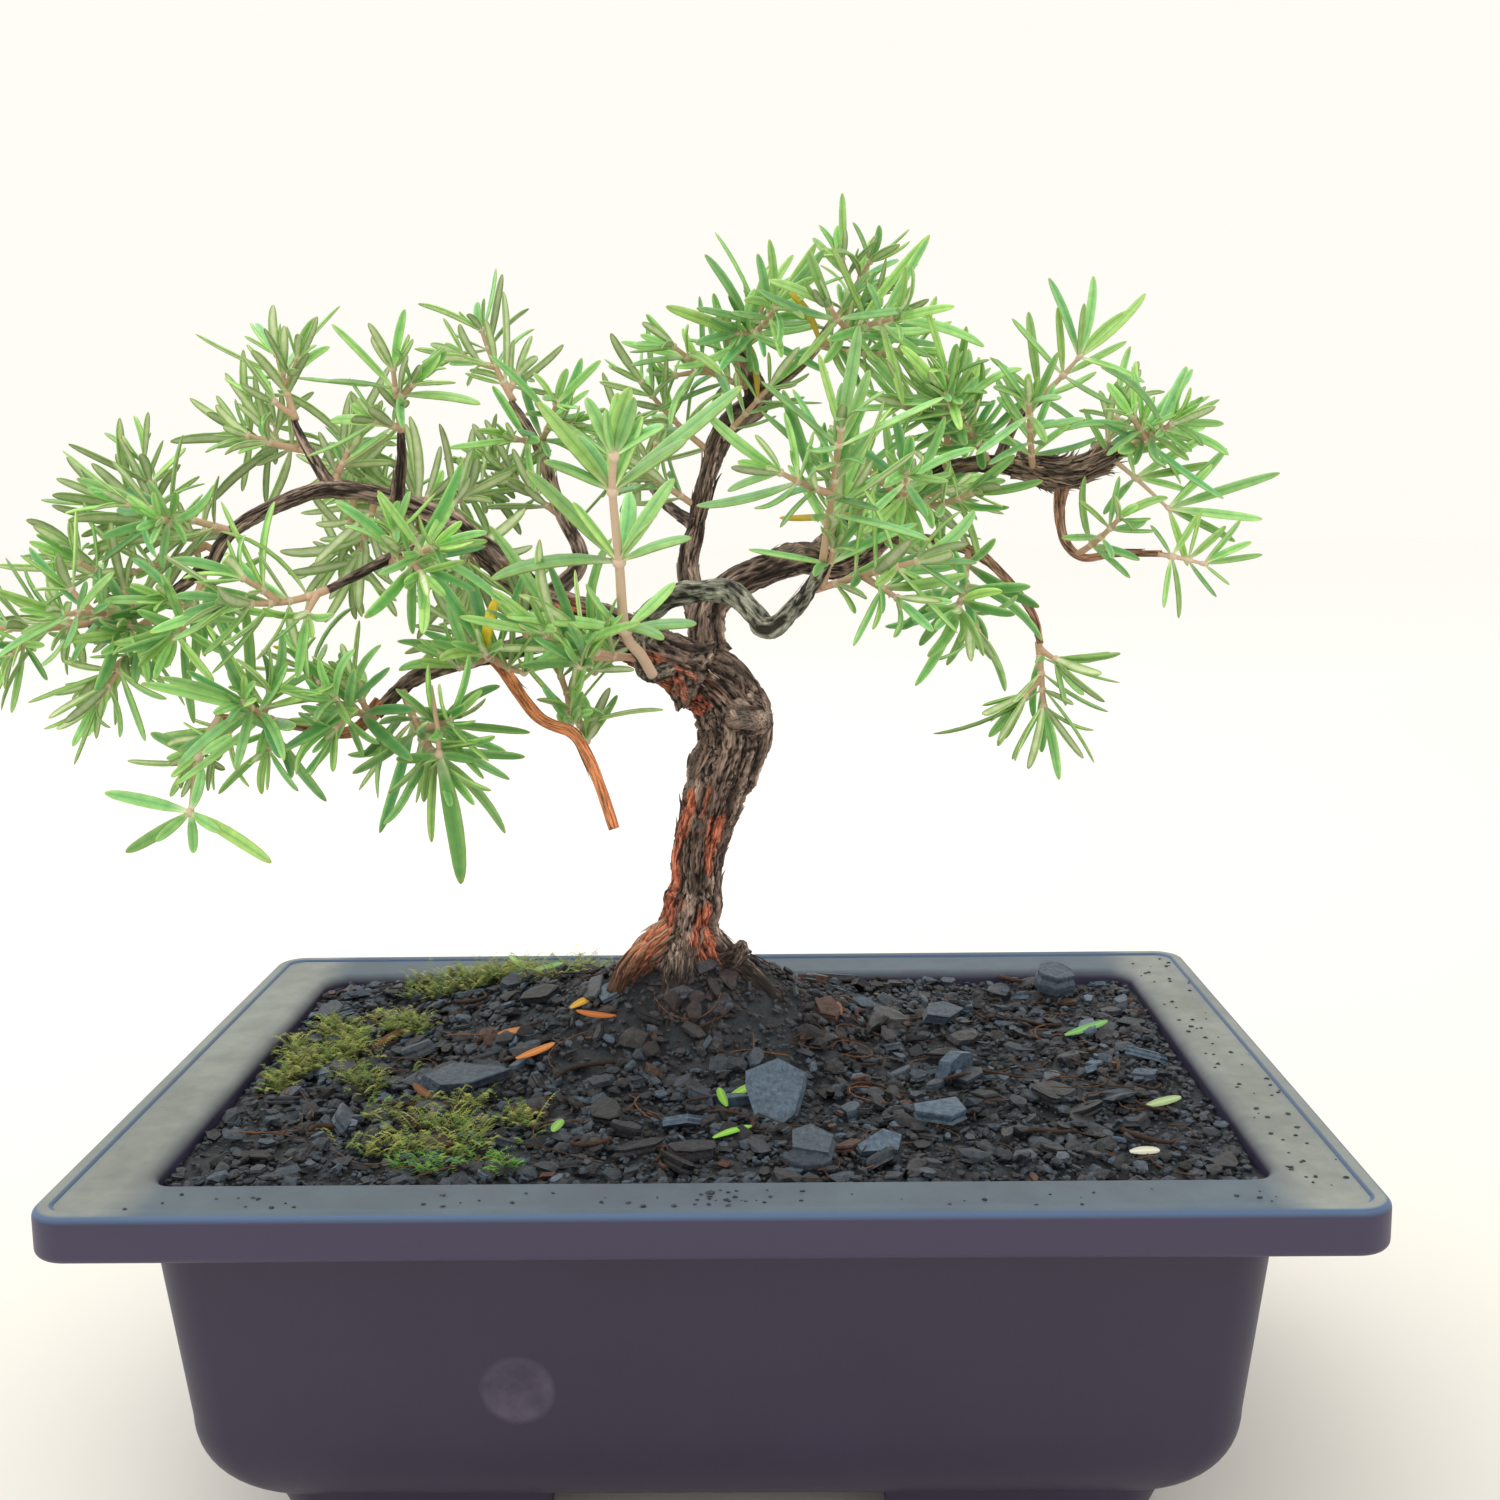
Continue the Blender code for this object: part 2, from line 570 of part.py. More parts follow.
def limb_mesh(name, radii, points, grow=0.0):
    """A tapering tube along a limb or root, grown by the gap for a cutter."""
    spots, shares = smooth_route(points, BARK_STEP)
    if grow:
        spots[-1] = spots[-1] + (spots[-1] - spots[-2]).normalized() * grow
    curve = bpy.data.curves.new(name, "CURVE")
    curve.dimensions = "3D"
    curve.bevel_depth = 1
    curve.bevel_resolution = 2 if max(radii) > 3 else 1 if max(radii) > 2 else 0
    curve.use_fill_caps = True
    spline = curve.splines.new("POLY")
    spline.points.add(len(spots) - 1)
    for point, spot, share in zip(spline.points, spots, shares):
        point.co = (*spot, 1)
        point.radius = at_share(radii, share) * MM + grow
    guide = add_object(name, curve, cutters)
    graph = bpy.context.evaluated_depsgraph_get()
    data = bpy.data.meshes.new_from_object(guide.evaluated_get(graph))
    bpy.data.objects.remove(guide)
    bm = bmesh.new()
    bm.from_mesh(data)
    bmesh.ops.remove_doubles(bm, verts=bm.verts, dist=1e-6)
    bpy.data.meshes.remove(data)
    return mesh_from(bm, name)


def make_tree():
    """The trunk, with every limb and root joined to it as one grown piece."""
    meshes = {name: limb_mesh(name, *limb) for name, limb in {**LIMBS, **ROOTS}.items()}
    tree = add_object("tree_wood", meshes.pop("trunk"), parts, material("wood"))
    for name, data in meshes.items():
        boolean(tree, add_object(name, data, cutters), "UNION")


def cut_roots_from(soil):
    """Opens the soil round the trunk's foot and every root."""
    grown = {name: limb_mesh(f"cut_{name}", *ROOTS[name], grow=CLEARANCE) for name in ROOTS}
    radii, points = LIMBS["trunk"]
    grown["trunk"] = limb_mesh("cut_trunk", radii[:3], points[:3], grow=CLEARANCE)
    for name, data in grown.items():
        boolean(soil, add_object(f"cut_{name}", data, cutters))


# The shoots.


class Taken:
    """Where leaves and wood already are, as spheres, so that nothing new runs into them."""

    def __init__(self):
        self.spots = np.zeros((0, 3))
        self.radii = np.zeros(0)

    def add(self, spots, radii):
        self.spots = np.vstack([self.spots, np.array(spots)])
        self.radii = np.concatenate([self.radii, np.broadcast_to(radii, len(spots))])

    def is_clear(self, spots, radius):
        away = np.linalg.norm(self.spots[None] - np.array(spots)[:, None], axis=2)
        return bool((away > self.radii + radius + LEAF_CLEARANCE).all())


def samples_between(start, end):
    count = max(2, math.ceil((end - start).length / SAMPLE_STEP))
    return [start.lerp(end, k / count) for k in range(count + 1)]


def first_clear(taken, start, direction):
    """The first place along a direction where a stem stands clear of the wood."""
    step = SAMPLE_STEP / 10
    while not taken.is_clear([start], STEM_RADIUS - LEAF_CLEARANCE + CLEARANCE):
        start = start + direction * step
    return start


def leaf_direction(axis, side, rise, swing):
    """A leaf leaves its stem at rise degrees from the axis, turned round the axis by swing."""
    rise = math.radians(rise)
    across = (side - axis * side.dot(axis)).normalized()
    direction = axis * math.cos(rise) + across * math.sin(rise)
    return Matrix.Rotation(math.radians(swing), 3, axis) @ direction


def grow_leaf(bm, face, axis, length, width, taken, own, rng):
    """Draws one side of a stem out into a leaf, at the first angle that clears everything."""
    start = face.calc_center_median()
    usual = rng.uniform(*LEAF_RISE)
    for rise, swing, share in LEAF_TRIES:
        direction = leaf_direction(axis, face.normal, usual + rise, swing)
        end = start + direction * length * share
        body = samples_between(start.lerp(end, LEAF_NECK), end)
        if taken.is_clear(body, width / 2) and own.is_clear(body, width / 3):
            break
    else:
        return
    across = axis.cross(direction).normalized()
    flat = across.cross(direction).normalized()
    grown = bmesh.ops.extrude_discrete_faces(bm, faces=[face])["faces"][0]
    middle = start.lerp(end, 0.5)
    for vert in grown.verts:
        offset = vert.co - start
        sideways = math.copysign(width / 2, offset.dot(across))
        upward = math.copysign(LEAF_THICKNESS / 2, offset.dot(flat))
        vert.co = middle + across * sideways + flat * upward
    tip = bmesh.ops.extrude_discrete_faces(bm, faces=[grown])["faces"][0]
    bmesh.ops.pointmerge(bm, verts=tip.verts[:], merge_co=end)
    own.add(body, width / 3)


def sides_below(top):
    """The stem's side faces that meet its end face."""
    return [face for edge in top.edges for face in edge.link_faces if face is not top]


def shoot_mesh(name, limb, share, last, pairs, size, taken):
    """A square stem with crossed pairs of leaves drawn out of its sides."""
    rng = random.Random(f"{SEED} {name}")
    spots, _ = smooth_route(LIMBS[limb][1], BARK_STEP)
    foot = at_share(spots, share)
    end = Vector(last) * MM + tree_foot
    axis = (end - foot).normalized()
    start = first_clear(taken, foot, axis)
    spacing = min(NODE_SPACING, (end - start).length / (pairs + 0.5))
    half_node = NODE_LENGTH / 2
    bm = bmesh.new()
    bmesh.ops.create_circle(bm, cap_ends=True, radius=STEM_RADIUS, segments=4)
    turn = axis.to_track_quat("Z", "Y").to_matrix().to_4x4()
    bmesh.ops.transform(bm, verts=bm.verts, matrix=Matrix.Translation(start) @ turn)
    top = bm.faces[:][0]
    base = bmesh.ops.extrude_face_region(bm, geom=[top], use_keep_orig=True)
    top = next(item for item in base["geom"] if isinstance(item, bmesh.types.BMFace))
    first = (end - start).length - (pairs - 1) * spacing
    heights = []
    for pair in range(pairs):
        heights += [first + pair * spacing - half_node, first + pair * spacing + half_node]
    at = 0.0
    leaf_faces = []
    for index, height in enumerate(heights):
        if index:
            top = bmesh.ops.extrude_discrete_faces(bm, faces=[top])["faces"][0]
        bmesh.ops.translate(bm, verts=top.verts[:], vec=axis * (height - at))
        at = height
        if index % 2:
            sides = sides_below(top)
            leaf_faces += sides[index // 2 % 2 :: 2]
    bmesh.ops.recalc_face_normals(bm, faces=bm.faces)
    own = Taken()
    for face in leaf_faces:
        face.normal_update()
        length = LEAF_LENGTH * size * rng.uniform(0.8, 1.15)
        grow_leaf(bm, face, axis, length, LEAF_WIDTH * min(size, 1.1), taken, own, rng)
    taken.add(samples_between(start, end), STEM_RADIUS)
    if len(own.spots):
        taken.add(own.spots, LEAF_WIDTH / 2)
    return mesh_from(bm, name)


def make_shoots():
    taken = Taken()
    for radii, points in {**LIMBS, **ROOTS}.values():
        spots, shares = smooth_route(points, SAMPLE_STEP)
        taken.add(spots, [at_share(radii, share) * MM for share in shares])
    finish = material("leaf")
    for index, shoot in enumerate(SHOOTS, 1):
        name = f"shoot_{index:02d}"
        add_object(name, shoot_mesh(name, *shoot, taken), parts, finish)


def stand_on_origin():
    """Moves the root so that the middle of the whole object's foot is at the origin."""
    graph = bpy.context.evaluated_depsgraph_get()
    corners = []
    for obj in parts.objects:
        solid = obj.evaluated_get(graph)
        corners += [solid.matrix_world @ Vector(corner) for corner in solid.bound_box]
    low = [min(corner[axis] for corner in corners) for axis in range(3)]
    high = [max(corner[axis] for corner in corners) for axis in range(3)]
    root.location = (-(low[0] + high[0]) / 2, -(low[1] + high[1]) / 2, -low[2])


clear_scene()
parts = collection("bonsai_in_pot")
cutters = collection("cutters")
root = bpy.data.objects.new("bonsai", None)
parts.objects.link(root)

make_pot()
mesh_finish = material("mesh")
drain_meshes = [make_drain_mesh("left", -HOLE_SPACING / 2, mesh_finish),
                make_drain_mesh("right", HOLE_SPACING / 2, mesh_finish)]
make_tree()
soil_body = make_soil(drain_meshes)
cut_roots_from(soil_body)
make_moss(material("moss"))
make_litter()
make_shoots()
stand_on_origin()
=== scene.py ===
"""Looks of a rosemary bonsai in a moulded plastic training pot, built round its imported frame.

Metres, +Z up. Every piece is made round the middle of the pot's foot, with +X along the pot and +Y
to its back, and stands there in the row frame.
"""

import math
import random

import bmesh
import bpy
import numpy as np
from mathutils import Matrix, Vector, noise
from mathutils.bvhtree import BVHTree


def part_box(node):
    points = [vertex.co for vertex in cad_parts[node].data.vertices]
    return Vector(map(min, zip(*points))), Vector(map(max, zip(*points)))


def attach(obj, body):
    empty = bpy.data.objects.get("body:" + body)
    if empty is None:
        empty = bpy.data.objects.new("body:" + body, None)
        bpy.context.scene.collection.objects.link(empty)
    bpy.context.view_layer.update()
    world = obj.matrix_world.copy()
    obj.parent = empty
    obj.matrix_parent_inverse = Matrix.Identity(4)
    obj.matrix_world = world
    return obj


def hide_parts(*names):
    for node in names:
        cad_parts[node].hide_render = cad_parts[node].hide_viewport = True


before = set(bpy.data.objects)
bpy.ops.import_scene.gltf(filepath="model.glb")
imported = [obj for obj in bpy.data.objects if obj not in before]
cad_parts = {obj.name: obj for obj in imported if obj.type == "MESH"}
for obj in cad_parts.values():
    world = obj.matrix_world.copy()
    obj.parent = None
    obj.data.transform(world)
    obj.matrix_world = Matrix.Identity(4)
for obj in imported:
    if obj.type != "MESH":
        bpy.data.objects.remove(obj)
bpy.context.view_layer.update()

MM = 0.001
SEED = 11

# The pot's size and place, from its CAD node, and the sizes that its shape adds to them.
pot_low, pot_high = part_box("pot")
POT_LENGTH, POT_WIDTH, POT_HEIGHT = pot_high - pot_low
pot_foot = Vector(((pot_low.x + pot_high.x) / 2, (pot_low.y + pot_high.y) / 2, pot_low.z))
RIM_CORNER = 8 * MM
RIM_OVERHANG = 16.2 * MM
RIM_PLATE = 3 * MM
LIP_HEIGHT = 10 * MM
LIP_WALL = 3 * MM
LIP_ROUND = 1.8 * MM
BEAD_WIDTH = 3 * MM
BEAD_HEIGHT = 0.7 * MM
BEAD_ROUND = 0.9 * MM
WALL = 2.8 * MM
FLOOR = 3 * MM
BODY_DRAFT = 5.2 * MM
BODY_CORNER = 10 * MM
BOTTOM_ROUND = 27 * MM
OPENING_FILLET = 2.6 * MM
FOOT_HEIGHT = 8 * MM
FOOT_INSET = 34.5 * MM
FOOT_TAPER = 4 * MM
FOOT_WIDTH = 11 * MM
FOOT_MERGE = 4.5 * MM
FRONT_ARCH = 74 * MM
SIDE_ARCH = 40 * MM
ARCH_SPREAD = 7 * MM
HOLE_RADIUS = 8 * MM
HOLE_SPACING = 110 * MM
SKY_SHEEN_BAND = 6 * MM  # how far in from the rim's outer edge the painted sky highlight goes
LIME_PLACE = (-41.4 * MM, 0, 44 * MM)
LIME_RADIUS = 8.8 * MM

# Soil.
SOIL_DROP = 4 * MM
SOIL_STEP = 1.6 * MM
MOUND_RISE = 19 * MM
MOUND_LENGTH = 40 * MM
MOUND_WIDTH = 30 * MM
BANK_RISE = 5 * MM
BANK_PLACE = (-60 * MM, 62 * MM)
BANK_SPREAD = 30 * MM
COLLAR_RISE = 5.5 * MM  # soil heaped against the trunk
COLLAR_SPREAD = 16 * MM
TRUNK_CLEAR = 7 * MM  # nothing loose lies nearer to the trunk's middle
SPECKS = 150  # of soil, on the rim

# Tree.
TREE_PLACE = (-8 * MM, 32 * MM)
BARK_TWIST = 75 * MM  # of limb for each radian that its fibres wind round it
BARK_DEPTH = 1.1 * MM
BARK_SHARE = 0.19  # the deepest bark on a thin limb, as a share of its radius
KNOT_SPACING = 7 * MM
KNOT_SWELL = 0.16
COLLAR_SWELL = 0.45  # where a limb leaves another
COLLAR_REACH = 3.5 * MM
FLUTE_DEPTH = 4.2 * MM
FLUTE_FOOT = 12 * MM
FLUTE_REACH = 6.5 * MM
LEAF_WIDTH = 3.0 * MM
LEAF_DEPTH = 0.95 * MM
STEM_RADIUS = 0.75 * MM
STEM_SINK = 2.5 * MM  # how far a stem starts inside the wood
NODE_SPACING = 3.8, 5.4  # mm between the pairs of leaves
LEAF_RISE = 34, 76  # degrees from the stem
TIP_RISE = 10, 50
YELLOW_SHARE = 0.005
SIDE_STEM_TURN = math.radians(137)

soil_level = POT_HEIGHT - SOIL_DROP
tree_foot = Vector((*TREE_PLACE, soil_level + MOUND_RISE))
body_inset = RIM_OVERHANG + BODY_DRAFT
floor_top = FOOT_HEIGHT + FLOOR

# Each limb: radii in mm from its foot to its end, then its route in mm from the trunk's foot.
LIMBS = {
    "trunk": ((9, 10, 7.6, 6.3, 6.8, 7.6, 8.3, 8.9, 9.6, 9.6, 8.6, 7),
              ((0, 0, -14), (-1, 0, 1), (-1, 0, 10), (1, 0, 20), (2, 0, 30), (5, 0, 41), (8, 0, 50),
               (11, 0, 57), (12, 0, 64), (9, 0, 71), (4, -1, 76), (-2, -2, 79))),
    "trunk_stub": ((6.4, 6.2, 5.2, 3.0), ((10, 0, 65), (15, -4, 66), (18.5, -7, 66.5), (20.5, -8, 67))),
    "root_bulge": ((1.4, 2.2, 2.7, 2.2), ((-11, -5, 6), (-14, -8, 4.5), (-17, -10, 1), (-20, -12, -5))),
    "root_lump": ((2.0, 2.5, 2.3, 1.2), ((8, -5, 1), (11, -7, 3), (12.5, -8, 5), (13.5, -9, 7.5))),
    "left_limb": ((7.4, 6.2, 4.8, 4, 3.6, 2.9, 2.4, 2.0, 1.8, 1.6, 1.4),
                  ((2, -1, 77), (-9, -4, 83), (-22, -7, 91), (-35, -10, 96), (-43, -12, 103),
                   (-56, -14, 115), (-70, -17, 122), (-85, -20, 125), (-96, -24, 122),
                   (-108, -27, 115), (-114, -27, 106))),
    "far_left": ((1.5, 1.1), ((-113, -27, 108), (-127, -30, 98), (-142, -32, 93))),
    "right_limb": ((5, 4.4, 4, 4.2, 4, 3.6, 2.8, 2.3, 2.1, 2.3, 2.6, 1.9, 1.5),
                   ((6, 0, 74), (5, 2, 91), (10, 4, 98), (20, 6, 103), (30, 8, 106), (40, 10, 104),
                    (52, 10, 112), (61, 8, 124), (70, 6, 129), (83, 4, 129), (95, 2, 125),
                    (105, 0, 130), (115, -2, 136))),
    "upright": ((3.6, 2.8, 2.3, 2.3, 3.2, 3.4, 2.6, 2.0),
                ((6, 1, 82), (0, 12, 102), (2, 18, 114), (5, 22, 127), (10, 24, 140),
                 (18, 26, 147), (15, 28, 157), (11, 28, 165))),
    "twisted": ((2.4, 2.7, 2.8, 2.5, 2.2, 1.5),
                ((-10, -4, 84), (-11, -14, 91), (-3, -24, 98), (5, -30, 100), (12, -36, 100),
                 (17, -40, 96), (21, -44, 92), (26, -48, 96), (30, -52, 101), (34, -58, 108))),
    "front": ((2.2, 1.5), ((-4, -3, 79), (-8, -24, 79), (-9, -40, 84), (-9, -54, 91))),
    "lower_left": ((2.7, 1.6), ((-8, -3, 83), (-31, -16, 87), (-50, -26, 84), (-64, -32, 80),
                                (-73, -36, 72))),
    "low_end": ((1.6, 0.9), ((-72, -35, 74), (-79, -40, 68), (-93, -44, 71), (-108, -47, 73))),
    "bare_stem": ((1.5, 1.3), ((-46, -24, 84), (-35, -34, 71), (-26, -38, 67), (-22, -40, 61),
                               (-19, -42, 54), (-16, -44, 45))),
    "up_left": ((2.3, 1.1), ((-36, -10, 96), (-27, -2, 106), (-32, 4, 118), (-39, 12, 136),
                             (-46, 16, 147))),
    "right_mass": ((2.4, 3.4, 3.9, 3.6, 2.8, 2.0),
                   ((84, 4, 129.5), (90, 3, 128), (96, 1, 127), (101, 0, 128), (107, -1, 131),
                    (111, -2, 134))),
    "right_down": ((1.5, 1.2, 1.0, 0.8), ((96, 2, 124), (95, -1, 117), (96, -4, 110), (100, -8, 106),
                                          (108, -11, 107), (118, -15, 107))),
    "droop": ((1.7, 0.8), ((51, 10, 111), (64, -2, 110), (75, -12, 106), (85, -20, 94),
                           (87, -24, 86))),
    "right_top": ((1.5, 1.0), ((80, 5, 129), (84, 4, 140), (92, 1, 147))),
    "top": ((1.8, 1.0), ((17, 26, 146), (31, 20, 157), (38, 15, 166))),
    "left_top": ((1.5, 0.9), ((-85, -20, 125), (-92, -15, 135), (-96, -11, 142))),
    "mid_top": ((1.6, 0.9), ((-70, -17, 122), (-67, -24, 131), (-66, -28, 138))),
    "back_left": ((2.0, 1.0), ((-44, -12, 104), (-54, 6, 110), (-68, 24, 117), (-80, 36, 120))),
    "back_right": ((2.2, 1.0), ((31, 8, 106), (40, 26, 113), (52, 42, 119), (60, 50, 121))),
    "front_left": ((1.8, 0.9), ((-57, -14, 116), (-62, -34, 112), (-70, -50, 107), (-77, -59, 103))),
    "back_mid": ((1.8, 1.0), ((2, 18, 114), (-8, 34, 121), (-14, 46, 129))),
}
ROOTS = {
    "root_left": ((6.4, 5.4, 3.2, 1.6), ((-2, 0, 9), (-11, -4, 3), (-21, -8, -7), (-36, -14, -24))),
    "root_front": ((5.0, 3.6, 1.6), ((-1, -1, 9), (-3, -10, 0), (-6, -24, -14), (-8, -40, -34))),
    "root_right": ((5.0, 3.4, 1.5), ((1, 0, 8), (10, -4, 1), (22, -10, -9), (38, -18, -28))),
    "root_back": ((5.0, 3.6, 1.6), ((1, 1, 8), (6, 9, 0), (13, 20, -12), (22, 30, -30))),
    "root_back_left": ((4.6, 3.2, 1.6), ((-1, 1, 8), (-9, 8, 0), (-20, 17, -12), (-34, 24, -30))),
}
# A lump of old root: middle in mm from the trunk's foot, and radius in mm.
FOOT_LUMP = (-12, 3, -1), 4.0
# Where the outer bark has come away: limb, from and to as shares of its length, the way it faces,
# and how far round it reaches in degrees.
PEELED = (
    ("trunk", 0.16, 0.36, (-1.0, -0.7, 0), 40),
    ("trunk", 0.14, 0.34, (0.55, -1.0, 0), 30),
    ("trunk", 0.30, 0.60, (-1.0, -0.5, 0), 42),
    ("trunk", 0.36, 0.58, (0.45, -1.0, 0), 22),
    ("trunk", 0.84, 1.00, (-0.5, -0.7, -0.7), 62),
    ("left_limb", 0.00, 0.17, (0, -0.7, -1), 75),
    ("left_limb", 0.22, 0.30, (0, -1, 0.4), 40),
    ("root_left", 0.05, 0.60, (-0.3, -1, 0.3), 45),
)
# Where a branch was once cut off: limb, place along it as a share, the way it faces, radius in mm.
CUTS = (
    ("trunk", 0.52, (-0.25, -1.0, 0), 1.5),
    ("trunk_stub", 0.72, (0.6, -1.0, 0.2), 2.6),
    ("left_limb", 0.395, (0.1, -1.0, 0.25), 2.1),
    ("right_limb", 0.30, (0, -1.0, 0.5), 2.2),
    ("upright", 0.72, (0.4, -1.0, 0), 1.8),
)
FRESH_CUTS = ("left_limb",)
# Limbs whose bark isn't brown: -1 is the orange of young wood and 1 is grey-green.
# Young wood is smooth too.
BARK_TONES = {"bare_stem": -1.0, "twisted": 0.9, "low_end": -0.6, "right_down": -0.35,
              "droop": -0.3, "front": 0.35, "root_left": -0.4, "root_bulge": -0.7}


# Shapes.


class Shape:
    """Points, faces, finishes and values at the points, gathered piece by piece into one mesh."""

    def __init__(self):
        self.points = []
        self.faces = []
        self.finishes = []
        self.values = {}
        self.count = 0

    def add(self, points, blocks, finish=0, **values):
        points = np.asarray(points, float).reshape(-1, 3)
        for block in blocks:
            self.faces += (np.asarray(block) + self.count).tolist()
            self.finishes += [finish] * len(block)
        for name, value in values.items():
            self.values.setdefault(name, []).append(np.broadcast_to(value, points.shape))
        self.points.append(points)
        self.count += len(points)

    def mesh(self, name, smooth=True):
        data = bpy.data.meshes.new(name)
        data.from_pydata(np.vstack(self.points), [], self.faces)
        for key, blocks in self.values.items():
            attribute = data.attributes.new(key, "FLOAT_VECTOR", "POINT")
            attribute.data.foreach_set("vector", np.vstack(blocks).astype(np.float32).ravel())
        data.polygons.foreach_set("material_index", self.finishes)
        if smooth:
            data.shade_smooth()
        data.update()
        return data


def draws(name):
    """The random draws for one piece."""
    return random.Random(f"{SEED} {name}")


def box_of(name):
    """The middle and the size of a CAD node, from the middle of the pot's foot."""
    low, high = (corner - pot_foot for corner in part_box(name))
    return (low + high) / 2, high - low


def place(name, data, slot, finishes, *nodes):
    """Stands a finished mesh in the frame, in the place of its CAD nodes."""
    piece = bpy.data.objects.new(name, data)
    bpy.context.scene.collection.objects.link(piece)
    piece.location = pot_foot
    for finish in finishes:
        data.materials.append(finish)
    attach(piece, "root")
    if nodes:
        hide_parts(*nodes)
    return piece


def sleeve(rings, around):
    """The faces of rings of points, each closed on itself and joined to the next."""
    start = np.arange(rings - 1)[:, None] * around
    here = np.arange(around)
    after = np.roll(here, -1)
    corners = (start + here, start + after, start + after + around, start + here + around)
    return np.stack(corners, -1).reshape(-1, 4)


def end_caps(rings, around):
    """Fans over the first and last ring, to two points that follow the rings."""
    here = np.arange(around)
    after = np.roll(here, -1)
    last = (rings - 1) * around
    foot = np.stack((after, here, np.full(around, rings * around)), -1)
    end = np.stack((last + here, last + after, np.full(around, rings * around + 1)), -1)
    return np.vstack((foot, end))


def unit(vectors):
    return vectors / np.linalg.norm(vectors, axis=-1, keepdims=True)


def directions_along(spots):
    """Tangents along a route, and two square directions carried along it without twist."""
    tangents = unit(np.gradient(spots, axis=0))
    side = np.array((1.0, 0, 0)) if abs(tangents[0, 2]) > 0.7 else np.array((0, 0, 1.0))
    sides = []
    for tangent in tangents:
        side = unit(side - tangent * side.dot(tangent))
        sides.append(side)
    sides = np.array(sides)
    return tangents, sides, np.cross(tangents, sides)


def around_at(sides, ups, i, angle):
    """The way out from a route at one of its points."""
    return sides[i] * math.cos(angle) + ups[i] * math.sin(angle)


def leaning(axis, out, angle):
    """An axis leant towards another direction."""
    return axis * math.cos(angle) + out * math.sin(angle)


def level_heading(turn, rise=0.0):
    return np.array((math.cos(turn), math.sin(turn), rise))


def tube(shape, spots, radii, around, finish=0, flat=1.0, **values):
    """A plain closed tube. flat is its depth against its width."""
    spots = np.asarray(spots, float)
    _, sides, ups = directions_along(spots)
    angles = np.arange(around) * math.tau / around
    radii = np.broadcast_to(radii, len(spots))[:, None, None]
    rim = sides[:, None] * np.cos(angles)[:, None] + flat * ups[:, None] * np.sin(angles)[:, None]
    points = (spots[:, None] + radii * rim).reshape(-1, 3)
    points = np.vstack((points, spots[:1], spots[-1:]))
    blocks = (sleeve(len(spots), around), end_caps(len(spots), around))
    shape.add(points, blocks, finish, **values)


def at_share(values, share):
    """A value read off an even list, at a share of its length."""
    where = min(max(share, 0), 1) * (len(values) - 1)
    low = min(int(where), len(values) - 2)
    return values[low] + (values[low + 1] - values[low]) * (where - low)


def smooth_route(points, step):
    """Points along a smooth curve through the given ones, and the share of the way at each."""
    points = [Vector(point) for point in points]
    ends = [2 * points[0] - points[1], *points, 2 * points[-1] - points[-2]]
    spots, shares = [], []
    for i in range(len(points) - 1):
        before, start, end, after = ends[i : i + 4]
        count = max(1, round((end - start).length / step))
        for k in range(count):
            t = k / count
            spots.append(0.5 * (2 * start + (end - before) * t
                                + (2 * before - 5 * start + 4 * end - after) * t * t
                                + (3 * start - before - 3 * end + after) * t ** 3))
            shares.append((i + t) / (len(points) - 1))
    return np.array(spots + [points[-1]]), np.array(shares + [1.0])


def tree_route(points, step):
    return smooth_route([Vector(point) * MM + tree_foot for point in points], step)


# Finishes.


def srgb(code):
    """A hex colour as linear red, green, blue and alpha."""
    parts = [int(code[i : i + 2], 16) / 255 for i in (1, 3, 5)]
    linear = [part / 12.92 if part <= 0.04045 else ((part + 0.055) / 1.055) ** 2.4 for part in parts]
    return (*linear, 1.0)


